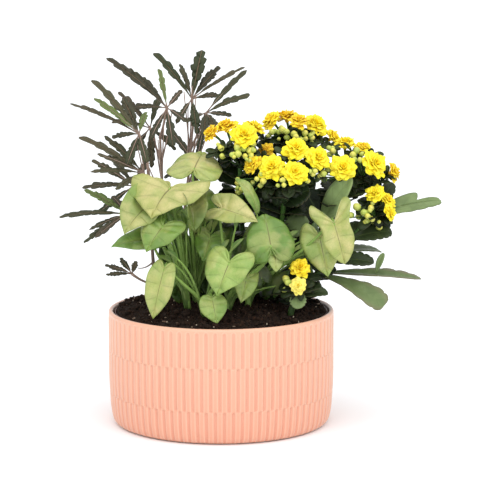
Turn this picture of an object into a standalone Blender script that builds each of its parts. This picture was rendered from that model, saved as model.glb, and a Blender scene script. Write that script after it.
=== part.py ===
"""Tropical dish garden: a ribbed peach ceramic pot with a plastic liner, soil and three kinds of plant.

The model is in metres with +Z up. The pot stands on z = 0 with its axis through the origin, and the front
of the planting faces -Y. False aralia stands back left, arrowhead vine front left and in the middle, and
double kalanchoe to the right and back right. Sizes below are in millimetres.
"""

import math
import random

import bmesh
import bpy
import numpy as np
from mathutils import Vector

# Pot, liner and soil
POT_HEIGHT = 103.0
POT_RADIUS = 101.6
POT_FOOT_RADIUS = 91.0
POT_FOOT_TURN = (95.6, 1.6)
POT_LOW_RADIUS = 98.2
POT_RIM_RADIUS = 99.8
POT_RIM_DROP = (2.4, 1.0)
POT_FLOOR = 6.0
POT_INSIDE_TOP = 97.2
POT_INSIDE_FLOOR = 88.0
RIBS = 80
RIB_DEPTH = 1.5
BAND_STEP = 0.4
LOWER_BANDS_IN = 0.6
ROUND = 32
BAND_LEVELS = (5.6, 29.3, 67.7, 99.3)
LINER_FLOOR = 6.3
LINER_TOP = 101.2
LINER_RADIUS_TOP = 95.6
LINER_RADIUS_FLOOR = 86.6
LINER_WALL = 0.9
SOIL_FLOOR = 7.5
SOIL_EDGE = 98.6
SOIL_CROWN = 111.5
GAP = 0.35
STEM_DEPTH = 26.0

# Blade thicknesses
ARALIA_THICK = 0.8
SYNGONIUM_THICK = 0.8
KALANCHOE_THICK = 1.5

# How far from the middle of a frond its leaflets begin
PALM_HUB = 2.3

# A leaf with a half width above this has a second ring of faces
LARGE_LEAF = 30.0

# How far a kalanchoe leaf arches on its way, in radians
FLESHY_DROOP = 0.6

# Petals in each layer of a bloom
PETALS = 6

# How far a frond's upper leaflets lean back and its lower ones forward, for each step down the view
ARALIA_LEAN = 0.35

# The front view that the plants are laid out in: the eye, its downward tilt and its scale
VIEW_EYE = (26.0, -2000.0, 479.0)
VIEW_COS = 0.98721
VIEW_SIN = 0.15944
VIEW_SCALE = 2255.0


def seen(across, down, depth):
    """The point at this depth along Y that stands at (across, down) in the front view."""
    rise = (250.0 - down) / VIEW_SCALE
    back = depth - VIEW_EYE[1]
    fall = back * (VIEW_COS * rise - VIEW_SIN) / (VIEW_COS + VIEW_SIN * rise)
    far = VIEW_COS * back - VIEW_SIN * fall
    return Vector((VIEW_EYE[0] + (across - 250.0) / VIEW_SCALE * far, depth, VIEW_EYE[2] + fall))


def material(name, colour, roughness):
    """A plain Principled material."""
    made = bpy.data.materials.new(name)
    made.use_nodes = True
    shader = made.node_tree.nodes["Principled BSDF"]
    shader.inputs["Base Color"].default_value = (*colour, 1.0)
    shader.inputs["Roughness"].default_value = roughness
    return made


def solid(name, shape, colour=None, roughness=0.6):
    """An object from (points in millimetres, triangles)."""
    points, faces = shape
    mesh = bpy.data.meshes.new(name)
    mesh.from_pydata([tuple(0.001 * c for c in p) for p in points], [], [tuple(f) for f in faces])
    mesh.update()
    made = bpy.data.objects.new(name, mesh)
    bpy.context.scene.collection.objects.link(made)
    if colour is not None:
        mesh.materials.append(material(name, colour, roughness))
    return made


def join_by(base, operation, shapes, solver="EXACT"):
    """Joins the shapes to the base, or cuts them from it, in one Boolean that is applied.

    The leafy stems are joined by MANIFOLD, because EXACT leaves some of their thin leaflets loose.
    """
    group = bpy.data.collections.new(base.name + "_group")
    bpy.context.scene.collection.children.link(group)
    for number, shape in enumerate(shapes):
        piece = solid(f"{base.name}_piece_{number}", shape)
        bpy.context.scene.collection.objects.unlink(piece)
        group.objects.link(piece)
    step = base.modifiers.new("join", "BOOLEAN")
    step.operation = operation
    step.operand_type = "COLLECTION"
    step.collection = group
    step.solver = solver
    bpy.context.view_layer.update()
    graph = bpy.context.evaluated_depsgraph_get()
    result = bpy.data.meshes.new_from_object(base.evaluated_get(graph))
    base.modifiers.remove(step)
    old = base.data
    base.data = result
    result.name = base.name
    if not result.materials and old.materials:
        result.materials.append(old.materials[0])
    keep_largest(result)
    bpy.data.meshes.remove(old)
    for piece in list(group.objects):
        bpy.data.objects.remove(piece)
    bpy.data.collections.remove(group)
    return base


def keep_largest(mesh):
    """Fills hollows that a Boolean sealed and drops loose scraps: only the largest shell stays."""
    work = bmesh.new()
    work.from_mesh(mesh)
    left = set(work.verts)
    shells = []
    while left:
        shell = set()
        front = [left.pop()]
        while front:
            vert = front.pop()
            shell.add(vert)
            for edge in vert.link_edges:
                other = edge.other_vert(vert)
                if other in left:
                    left.discard(other)
                    front.append(other)
        shells.append(shell)
    shells.sort(key=len)
    for shell in shells[:-1]:
        bmesh.ops.delete(work, geom=list(shell), context="VERTS")
    work.to_mesh(mesh)
    work.free()


# Rings and lathe-like skins

def ring(radius, height, count, turn=0.0, swing=None):
    """A closed ring of points. swing(k) is added to the radius of point k."""
    points = []
    for k in range(count):
        angle = 2.0 * math.pi * (k + turn) / count
        reach = radius + (swing(k) if swing else 0.0)
        points.append((reach * math.cos(angle), reach * math.sin(angle), height))
    return points


def band(first, second):
    """Triangles between two closed rings of indices with any counts, both running the same way."""
    faces = []
    i = 0
    j = 0
    while i < len(first) or j < len(second):
        a = first[i % len(first)]
        b = second[j % len(second)]
        if j >= len(second) or (i < len(first) and (i + 1) / len(first) <= (j + 1) / len(second) + 1e-9):
            faces.append((a, first[(i + 1) % len(first)], b))
            i += 1
        else:
            faces.append((a, second[(j + 1) % len(second)], b))
            j += 1
    return [face for face in faces if len(set(face)) == 3]


def skin(rings):
    """A closed solid through a list of rings, with flat caps on the first and last."""
    points = []
    faces = []
    rows = []
    for row in rings:
        rows.append(list(range(len(points), len(points) + len(row))))
        points.extend(row)
    for below, above in zip(rows, rows[1:]):
        faces.extend(band(below, above))
    start = rows[0]
    end = rows[-1]
    faces.extend((start[0], start[k + 1], start[k]) for k in range(1, len(start) - 1))
    faces.extend((end[0], end[k], end[k + 1]) for k in range(1, len(end) - 1))
    return points, faces


# Stems and buds

def curve(points, count):
    """Evenly stepped points on a Bezier curve through the first and last of three or four points."""
    made = []
    for k in range(count + 1):
        t = k / count
        level = [Vector(p) for p in points]
        while len(level) > 1:
            level = [a.lerp(b, t) for a, b in zip(level, level[1:])]
        made.append(level[0])
    return made


def tube(path, radii, sides=5, turn=0.0):
    """A closed tapered tube along the path."""
    points = []
    rows = []
    path = [Vector(p) for p in path]
    across = None
    for k, centre in enumerate(path):
        before = path[max(k - 1, 0)]
        after = path[min(k + 1, len(path) - 1)]
        along = (after - before).normalized()
        if across is None:
            across = Vector((1.0, 0.0, 0.0)) if abs(along.x) < 0.9 else Vector((0.0, 1.0, 0.0))
        across = (across - along * across.dot(along)).normalized()
        other = along.cross(across)
        radius = radii[0] + (radii[1] - radii[0]) * k / (len(path) - 1)
        rows.append(list(range(len(points), len(points) + sides)))
        for j in range(sides):
            angle = 2.0 * math.pi * (j + turn) / sides
            points.append(tuple(centre + radius * (math.cos(angle) * across + math.sin(angle) * other)))
    faces = []
    for below, above in zip(rows, rows[1:]):
        faces.extend(band(below, above))
    first = rows[0]
    last = rows[-1]
    faces.extend((first[0], first[j + 1], first[j]) for j in range(1, sides - 1))
    faces.extend((last[0], last[j], last[j + 1]) for j in range(1, sides - 1))
    return points, faces


def bud(fork, centre, axis, radius):
    """A pointed flower bud on its own three-sided stalk from the fork, in one skin."""
    low = centre - axis * 1.1 * radius
    rings = []
    for spot, along, reach, count in (
        (fork, (low - fork).normalized(), 0.9, 3),
        (low, axis, 0.42 * radius, 3),
        (centre, axis, radius, 5),
        (centre + axis * 1.25 * radius, axis, 0.0, 1),
    ):
        side = Vector((1.0, 0.0, 0.0)) if abs(along.x) < 0.8 else Vector((0.0, 1.0, 0.0))
        side = (side - along * side.dot(along)).normalized()
        other = along.cross(side)
        row = []
        for j in range(count):
            angle = 2.0 * math.pi * j / count
            row.append(tuple(spot + reach * (math.cos(angle) * side + math.sin(angle) * other)))
        rings.append(row)
    return skin(rings)


# Leaf outlines, from the tip to the base: half width, place along the leaf, foot on the midrib

ARROWHEAD = (
    (0.00, 1.00, 1.00),
    (0.36, 0.78, 0.66),
    (0.78, 0.48, 0.66),
    (0.99, 0.14, 0.22),
    (0.98, -0.18, 0.22),
    (0.78, -0.43, 0.0),
    (0.42, -0.46, 0.0),
    (0.12, -0.20, 0.0),
    (0.00, 0.00, 0.0),
)

ROUNDED = (
    (0.00, 1.00, 1.00),
    (0.44, 0.82, 0.66),
    (0.84, 0.50, 0.66),
    (1.00, 0.12, 0.22),
    (0.90, -0.20, 0.22),
    (0.60, -0.38, 0.0),
    (0.22, -0.36, 0.0),
    (0.03, -0.16, 0.0),
    (0.00, 0.00, 0.0),
)

EARED = (
    (0.00, 1.00, 1.00),
    (0.54, 0.70, 0.66),
    (0.74, 0.40, 0.30),
    (0.66, 0.10, 0.14),
    (0.98, -0.22, 0.08),
    (0.98, -0.46, 0.0),
    (0.70, -0.54, 0.0),
    (0.18, -0.06, 0.0),
    (0.00, 0.00, 0.0),
)

# Leaflets are strips with their teeth in turn left and right: half widths of the two edges, place along

LEAFLET = (
    (0.00, 0.00, 1.00),
    (0.58, 0.36, 0.84),
    (0.56, 1.00, 0.68),
    (1.00, 0.60, 0.52),
    (0.46, 0.74, 0.32),
    (0.20, 0.20, 0.00),
)

SCALLOPED = (
    (0.00, 1.00, 1.00),
    (0.74, 0.88, 0.70),
    (0.68, 0.75, 0.70),
    (1.00, 0.60, 0.34),
    (0.50, 0.20, 0.34),
    (0.13, 0.00, 0.00),
)

STRAP = (
    (0.00, 1.00, 1.00),
    (0.50, 0.86, 0.86),
    (0.90, 0.66, 0.66),
    (1.00, 0.44, 0.44),
    (0.80, 0.22, 0.22),
    (0.35, 0.00, 0.00),
)


def sheet(outline, rings):
    """A flat leaf as (across, along) points and triangles.

    It has rings of faces from the midrib to the outline. With no rings it is a plain strip, edge to edge.
    """
    points = []
    index = {}
    faces = []

    def add(across, along):
        key = (round(across, 5) + 0.0, round(along, 5) + 0.0)
        if key not in index:
            index[key] = len(points)
            points.append(key)
        return index[key]

    if rings == 0:
        rows = []
        for left, right, w in outline:
            ends = {add(-left, w), add(right, w)}
            rows.append(sorted(ends, key=lambda k: points[k][0]))
        for a, b in zip(rows, rows[1:]):
            faces.append((a[-1], a[0], b[0]))
            faces.append((a[-1], b[0], b[-1]))
        return points, [face for face in faces if len(set(face)) == 3]
    for side in (1.0, -1.0):
        rows = []
        for u, w, foot in outline:
            rows.append([add(side * u * k / rings, foot + (w - foot) * k / rings) for k in range(rings + 1)])
        for a, b in zip(rows, rows[1:]):
            for k in range(rings):
                for face in ((a[k], a[k + 1], b[k + 1]), (a[k], b[k + 1], b[k])):
                    if len(set(face)) == 3:
                        faces.append(face[::-1] if side > 0 else face)
    return points, faces


def spread(joint, tip, face, half, outline, rings=1, droop=0.4, fold=0.15, cup=0.0, wave=0.0):
    """A leaf as a bent sheet from its joint to its tip, its upper side towards face.

    It arches by droop radians on its way, is folded up by fold radians each side, and waved at its edge.
    """
    joint = Vector(joint)
    tip = Vector(tip)
    chord = (tip - joint).length
    along = (tip - joint).normalized()
    up = Vector(face).normalized()
    up = (up - along * up.dot(along)).normalized()
    side = along.cross(up)
    length = chord * (0.5 * droop) / math.sin(0.5 * droop) if droop > 0.01 else chord
    bend = droop / length
    flat, faces = sheet(outline, rings)
    placed = []
    for u, w in flat:
        run = w * length
        angle = bend * run
        if droop > 0.01:
            y = math.sin(angle) / bend
            z = (math.cos(angle) - 1.0) / bend
        else:
            y = run
            z = 0.0
        lift = abs(u) * half * math.sin(fold) + cup * half * u * u
        lift += wave * u * u * math.sin(3.0 * math.pi * w + (1.3 if u > 0 else 0.0))
        x = u * half * math.cos(fold)
        y += lift * math.sin(angle)
        z += lift * math.cos(angle)
        ahead = y * math.cos(0.5 * droop) - z * math.sin(0.5 * droop)
        above = y * math.sin(0.5 * droop) + z * math.cos(0.5 * droop)
        placed.append(joint + x * side + ahead * along + above * up)
    return placed, faces


def blade(joint, tip, face, half, outline, thick, *bends):
    """A closed leaf blade with its thickness."""
    return thicken(*spread(joint, tip, face, half, outline, *bends), thick)


def palm(hub, face, leaflets, thick):
    """Leaflets that spread like fingers from the hub, cut to it in one thin sheet with its thickness.

    leaflets holds (tip, half width). The fingers are taken in their turn about the hub, as seen from -Y.
    """
    order = sorted(leaflets, key=lambda item: math.atan2(item[0].z - hub.z, item[0].x - hub.x))
    ways = [(tip - hub).normalized() for tip, _ in order]
    placed = [hub]
    faces = []
    corners = []
    for k, way in enumerate(ways):
        after = ways[(k + 1) % len(ways)]
        if way.angle(after) < 1.75:
            placed.append(hub + PALM_HUB * (way + after).normalized())
            corners.append((len(placed) - 1, len(placed) - 1))
        else:
            up = Vector(face)
            placed.append(hub + PALM_HUB * (way - 0.5 * way.cross(up)).normalized())
            placed.append(hub + PALM_HUB * (after + 0.5 * after.cross(up)).normalized())
            corners.append((len(placed) - 2, len(placed) - 1))
    for k, (tip, half) in enumerate(order):
        joint = hub + PALM_HUB * ways[k]
        points, strip = spread(joint, tip, face, half, LEAFLET, 0, 0.35, 0.0)
        right = corners[k - 1][1]
        left = corners[k][0]
        start = len(placed)
        placed.extend(points[:-2])
        names = list(range(start, start + len(points) - 2)) + [left, right]
        faces.extend(tuple(names[v] for v in face3) for face3 in strip)
        faces.append((0, right, left))
    return thicken(placed, faces, thick)


def thicken(placed, faces, thick):
    """A sheet of triangles given a thickness, half to each side, and closed round its edge."""
    points = np.array([tuple(p) for p in placed])
    corners = points[np.array(faces)]
    cross = np.cross(corners[:, 1] - corners[:, 0], corners[:, 2] - corners[:, 0])
    normals = np.zeros_like(points)
    for k in range(3):
        np.add.at(normals, np.array(faces)[:, k], cross)
    normals /= np.linalg.norm(normals, axis=1)[:, None]
    count = len(points)
    both = np.concatenate([points + 0.5 * thick * normals, points - 0.5 * thick * normals])
    made = [tuple(f) for f in faces]
    made.extend((f[2] + count, f[1] + count, f[0] + count) for f in faces)
    edges = {(f[k], f[(k + 1) % 3]) for f in faces for k in range(3)}
    for a, b in sorted(edges):
        if (b, a) not in edges:
            made.append((b, a, a + count))
            made.append((b, a + count, b + count))
    return [tuple(p) for p in both], made


# Pot

def pot_shape():
    """The pot as one closed skin: foot, three bands of ribs, rim, inside wall and floor."""
    count = 2 * RIBS

    def ribs(radius, height, offset):
        return ring(radius, height, count, 0.0, lambda k: 0.0 if (k + offset) % 2 == 0 else -RIB_DEPTH)

    low, first, second, top = BAND_LEVELS
    rings = [
        ring(POT_FOOT_RADIUS, 0.0, ROUND),
        ring(*POT_FOOT_TURN, RIBS),
        ribs(POT_LOW_RADIUS, low, 0),
        ribs(POT_RADIUS - LOWER_BANDS_IN, first - BAND_STEP, 0),
        ribs(POT_RADIUS - LOWER_BANDS_IN, first + BAND_STEP, 1),
        ribs(POT_RADIUS, second - BAND_STEP, 1),
        ribs(POT_RADIUS, second + BAND_STEP, 0),
        ribs(POT_RADIUS, top, 0),
        ring(POT_RADIUS, POT_HEIGHT - POT_RIM_DROP[0], RIBS),
        ring(POT_RIM_RADIUS, POT_HEIGHT, RIBS),
        ring(POT_INSIDE_TOP, POT_HEIGHT - POT_RIM_DROP[1], ROUND),
        ring(POT_INSIDE_FLOOR, POT_FLOOR, ROUND),
    ]
    return skin(rings)


def liner_shape():
    """The thin plastic liner that holds the soil, just off the pot's floor."""
    return skin([
        ring(LINER_RADIUS_FLOOR, LINER_FLOOR, ROUND),
        ring(LINER_RADIUS_TOP, LINER_TOP, ROUND),
        ring(LINER_RADIUS_TOP - LINER_WALL, LINER_TOP, ROUND),
        ring(LINER_RADIUS_FLOOR - LINER_WALL, LINER_FLOOR + LINER_WALL, ROUND),
    ])


def soil_level(reach):
    """Height of the soil at this distance from the axis, before its lumps."""
    share = min(reach / 94.0, 1.0)
    return SOIL_CROWN - (SOIL_CROWN - SOIL_EDGE) * share ** 2.2


def soil_shape():
    """The mound of potting soil inside the liner."""
    draw = random.Random(7)
    slope = (LINER_RADIUS_TOP - LINER_RADIUS_FLOOR) / (LINER_TOP - LINER_FLOOR)
    edge = LINER_RADIUS_FLOOR + slope * (SOIL_EDGE - LINER_FLOOR) - LINER_WALL - GAP
    rings = [ring(LINER_RADIUS_FLOOR - LINER_WALL - GAP, SOIL_FLOOR, ROUND), ring(edge, SOIL_EDGE, ROUND)]
    for radius, count in ((82.0, 28), (62.0, 22), (40.0, 15), (18.0, 8)):
        row = []
        for x, y, z in ring(radius, soil_level(radius), count, 0.5):
            row.append((x, y, z + draw.uniform(-1.1, 1.1)))
        rings.append(row)
    return skin(rings)


# Roots: each stem stands in a plain hole in the soil

HOLES = []


def root(x, y, radius):
    """The straight foot of a stem, sunk in the soil. Its hole is noted for the soil."""
    level = soil_level(math.hypot(x, y))
    low = level - STEM_DEPTH
    HOLES.append(tube([(x, y, low - GAP), (x, y, level + 8.0)], (radius + GAP + 0.1,) * 2))
    return Vector((x, y, low)), Vector((x, y, level + 3.0))


# False aralia: cane foot, cane path, then fronds as (petiole start, hub, leaflets as tip and half width)

ARALIA = {
    "aralia_stem_1": (
        (-59.0, 12.0),
        ((152, 245, 13), (151, 195, 15), (147, 158, 17)),
        (
            ((147, 160, 17), (139, 134, 17), (
                (92, 80, 14, 3.8), (94, 98, 8, 3.8), (70, 104, 13, 2.6), (123, 99, 22, 5.4),
                (112, 138, 6, 3.6), (127, 165, 8, 4.4), (147, 163, 6, 4.2), (146, 112, 24, 3.4),
            )),
            ((151, 195, 15), (143, 173, 12), (
                (79, 137, 8, 3.8), (104, 136, 12, 3.8), (97, 154, 4, 3.4), (90, 172, 9, 3.0),
                (116, 190, 0, 3.8), (132, 196, -4, 3.4),
            )),
            ((152, 232, 14), (127, 214, 14), (
                (84, 190, 16, 4.2), (59, 217, 12, 3.6), (89, 230, 14, 2.6), (95, 238, 6, 3.6),
                (84, 243, 12, 3.2), (112, 196, 24, 3.6),
            )),
            ((153, 284, 12), (132, 274, 8), (
                (105, 265, 6, 2.8), (106, 275, 2, 2.6), (120, 258, 10, 2.8), (137, 261, 2, 3.0),
            )),
        ),
    ),
    "aralia_stem_2": (
        (-48.0, 42.0),
        ((164, 230, 42), (162, 180, 42), (160, 136, 43)),
        (
            ((160, 138, 43), (167, 108, 42), (
                (106, 58, 34, 4.2), (134, 72, 42, 4.2), (159, 69, 52, 2.8), (182, 90, 44, 3.2),
                (187, 122, 34, 3.4), (173, 146, 28, 4.2), (150, 140, 30, 3.4), (128, 108, 36, 3.6),
            )),
            ((161, 160, 42), (150, 128, 54), (
                (118, 92, 60, 3.6), (112, 122, 62, 3.4), (128, 158, 52, 3.8), (152, 168, 56, 4.0),
                (176, 150, 66, 3.6), (160, 96, 74, 3.6),
            )),
            ((163, 200, 42), (134, 186, 62), (
                (92, 160, 64, 3.8), (82, 188, 66, 3.8), (98, 214, 62, 3.8), (128, 226, 60, 3.8),
                (150, 158, 84, 3.8), (112, 160, 84, 3.4),
            )),
        ),
    ),
    "aralia_stem_3": (
        (-30.0, 58.0),
        ((184, 230, 60), (189, 170, 60), (193, 124, 60)),
        (
            ((193, 126, 60), (192, 99, 60), (
                (154, 53, 58, 4.2), (180, 64, 72, 3.0), (202, 50, 58, 6.4), (220, 67, 62, 4.6),
                (245, 67, 66, 2.6), (222, 96, 56, 3.4), (176, 124, 56, 3.4), (197, 134, 44, 4.2),
            )),
            ((190, 150, 60), (206, 113, 50), (
                (247, 70, 46, 3.6), (250, 95, 42, 4.0), (232, 116, 40, 3.4), (216, 130, 36, 4.4),
                (204, 136, 30, 4.4), (186, 122, 44, 3.0),
            )),
            ((187, 190, 60), (196, 166, 86), (
                (170, 130, 98, 4.0), (204, 126, 100, 3.8), (228, 150, 98, 3.8), (226, 178, 92, 3.8),
                (196, 200, 92, 4.0), (164, 178, 96, 3.8),
            )),
        ),
    ),
}


def aralia(name):
    """One cane with its fronds of long toothed leaflets."""
    foot, path, fronds = ARALIA[name]
    start, rise = root(foot[0], foot[1], 2.6)
    way = [start, rise] + [seen(*p) for p in path]
    pieces = []
    for stalk, hub, leaflets in fronds:
        foot_of_stalk = seen(*stalk)
        middle = seen(*hub)
        knee = foot_of_stalk.lerp(middle, 0.5) + Vector((0.0, 0.0, -3.0))
        pieces.append(tube(curve((foot_of_stalk, knee, middle), 2), (1.4, 1.3), 3))
        fingers = []
        for across, down, depth, half in leaflets:
            lean = ARALIA_LEAN * (hub[1] - down)
            fingers.append((seen(across, down, depth + lean), half))
        pieces.append(palm(middle, (0.0, -0.72, 0.70), fingers, ARALIA_THICK))
    made = solid(name, tube(way, (2.6, 1.6)), (0.045, 0.05, 0.035), 0.55)
    return join_by(made, "UNION", pieces, "MANIFOLD")


# Arrowhead vine: crown foot and height, then leaves as joint, tip, half width, face and bends

SYNGONIUM = {
    "syngonium_stem_1": (
        (-29.0, -40.0, 12.0),
        (
            ((170, 188, -36), (151, 218, -64), 36.0, (-0.15, -0.55, 0.80), 0.7, 0.04, 0.08, ARROWHEAD),
            ((146, 207, -42), (124, 234, -62), 21.0, (-0.30, -0.80, 0.50), 0.6, 0.15, 0.10, ARROWHEAD),
            ((163, 226, -60), (146, 252, -72), 20.0, (-0.20, -0.80, 0.55), 0.5, 0.12, 0.12, ARROWHEAD),
            ((147, 240, -44), (111, 247, -50), 13.0, (0.00, -0.55, 0.83), 0.5, 0.20, 0.05, ARROWHEAD),
            ((176, 214, -24), (160, 236, -34), 12.0, (0.10, -0.75, 0.60), 0.4, 0.10, 0.05, ARROWHEAD),
            ((178, 262, -12), (170, 292, -20), 12.0, (-0.20, -0.80, 0.55), 0.4, 0.10, 0.05, ARROWHEAD),
        ),
    ),
    "syngonium_stem_2": (
        (-22.0, -16.0, 14.0),
        (
            ((194, 169, -8), (203, 152, 28), 26.0, (0.00, -0.34, 0.94), 0.3, -0.06, 0.05, ROUNDED),
            ((203, 207, -8), (207, 187, 20), 14.0, (0.10, -0.45, 0.88), 0.4, 0.08, 0.05, ARROWHEAD),
            ((210, 238, -30), (203, 262, -44), 14.0, (0.00, -0.80, 0.60), 0.4, 0.10, 0.05, ARROWHEAD),
            ((202, 258, 6), (196, 286, -2), 12.5, (0.15, -0.80, 0.60), 0.4, 0.10, 0.05, ARROWHEAD),
            ((191, 207, -48), (194, 232, -56), 11.5, (0.40, -0.80, 0.40), 0.5, 0.50, 0.20, ARROWHEAD),
        ),
    ),
    "syngonium_stem_3": (
        (-14.0, -58.0, 10.0),
        (
            ((168, 276, -70), (152, 319, -73), 14.5, (-0.15, -0.85, 0.50), 0.4, 0.12, 0.08, ROUNDED),
            ((229, 263, -76), (217, 296, -88), 23.0, (-0.30, -0.85, 0.45), 0.4, 0.12, 0.08, ARROWHEAD),
            ((213, 305, -74), (217, 324, -84), 12.5, (0.00, -0.80, 0.60), 0.4, 0.10, 0.10, ROUNDED),
        ),
    ),
    "syngonium_stem_4": (
        (6.0, -46.0, 11.0),
        (
            ((246, 279, -58), (241, 303, -68), 11.5, (0.20, -0.88, 0.45), 0.4, 0.20, 0.05, ARROWHEAD),
            ((229, 216, -40), (259, 222, -50), 22.0, (-0.05, -0.40, 0.90), 0.5, 0.25, 0.10, ARROWHEAD),
            ((271, 247, -62), (264, 214, -40), 24.0, (0.10, -0.80, 0.60), 0.5, 0.10, 0.05, ROUNDED),
            ((275, 254, -60), (276, 272, -68), 8.0, (0.15, -0.85, 0.45), 0.4, 0.20, 0.05, ROUNDED),
        ),
    ),
    "syngonium_stem_5": (
        (24.0, -30.0, 14.0),
        (
            ((334, 223, -46), (345, 264, -58), 20.0, (0.00, -0.85, 0.50), 0.4, 0.14, 0.06, EARED),
            ((320, 238, -36), (328, 277, -44), 19.0, (-0.15, -0.80, 0.55), 0.5, 0.10, 0.06, ARROWHEAD),
            ((257, 214, -26), (235, 178, -20), 6.5, (0.42, -0.70, 0.60), 1.5, 0.15, 0.00, STRAP),
        ),
    ),
    "syngonium_stem_6": (
        (3.0, 60.0, 10.0),
        (
            ((218, 244, 72), (211, 269, 100), 17.0, (-0.10, 0.60, 0.80), 0.5, 0.12, 0.08, ARROWHEAD),
            ((238, 233, 74), (247, 263, 98), 16.0, (0.15, 0.65, 0.75), 0.5, 0.12, 0.08, ARROWHEAD),
            ((226, 217, 52), (222, 231, 88), 18.0, (0.00, 0.40, 0.90), 0.5, 0.12, 0.08, ARROWHEAD),
        ),
    ),
}


def syngonium(name):
    """A short crown with arrowhead leaves on long arching stalks."""
    (x, y, height), leaves = SYNGONIUM[name]
    start, rise = root(x, y, 3.2)
    top = rise + Vector((0.0, 0.0, height))
    pieces = []
    for joint, tip, half, face, droop, fold, cup, outline in leaves:
        hinge = seen(*joint)
        point = seen(*tip)
        knee = Vector((0.75 * hinge.x + 0.25 * x, 0.6 * hinge.y + 0.4 * y, 0.55 * hinge.z + 0.45 * top.z))
        along = (point - hinge).normalized()
        up = Vector(face) - along * along.dot(Vector(face))
        under = up.normalized()
        over = hinge - 5.0 * along - 4.0 * under
        stalk = curve((rise + Vector((0.0, 0.0, 2.0)), top + Vector((0.0, 0.0, 6.0)), knee, over), 3)
        pieces.append(tube(stalk + [hinge + 2.0 * along - 0.2 * under], (2.0, 1.1), 3))
        rings = 2 if half > LARGE_LEAF else 1
        pieces.append(blade(hinge, point, face, half, outline, SYNGONIUM_THICK, rings, droop, fold, cup, 1.2))
    made = solid(name, tube([start, rise, top], (3.2, 2.2)), (0.30, 0.46, 0.10), 0.5)
    return join_by(made, "UNION", pieces, "MANIFOLD")


# Kalanchoe: foot, path to the hub, leaves (the last number, where there is one, is how far a leaf droops),
# then blooms and buds as placed in the front view

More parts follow.
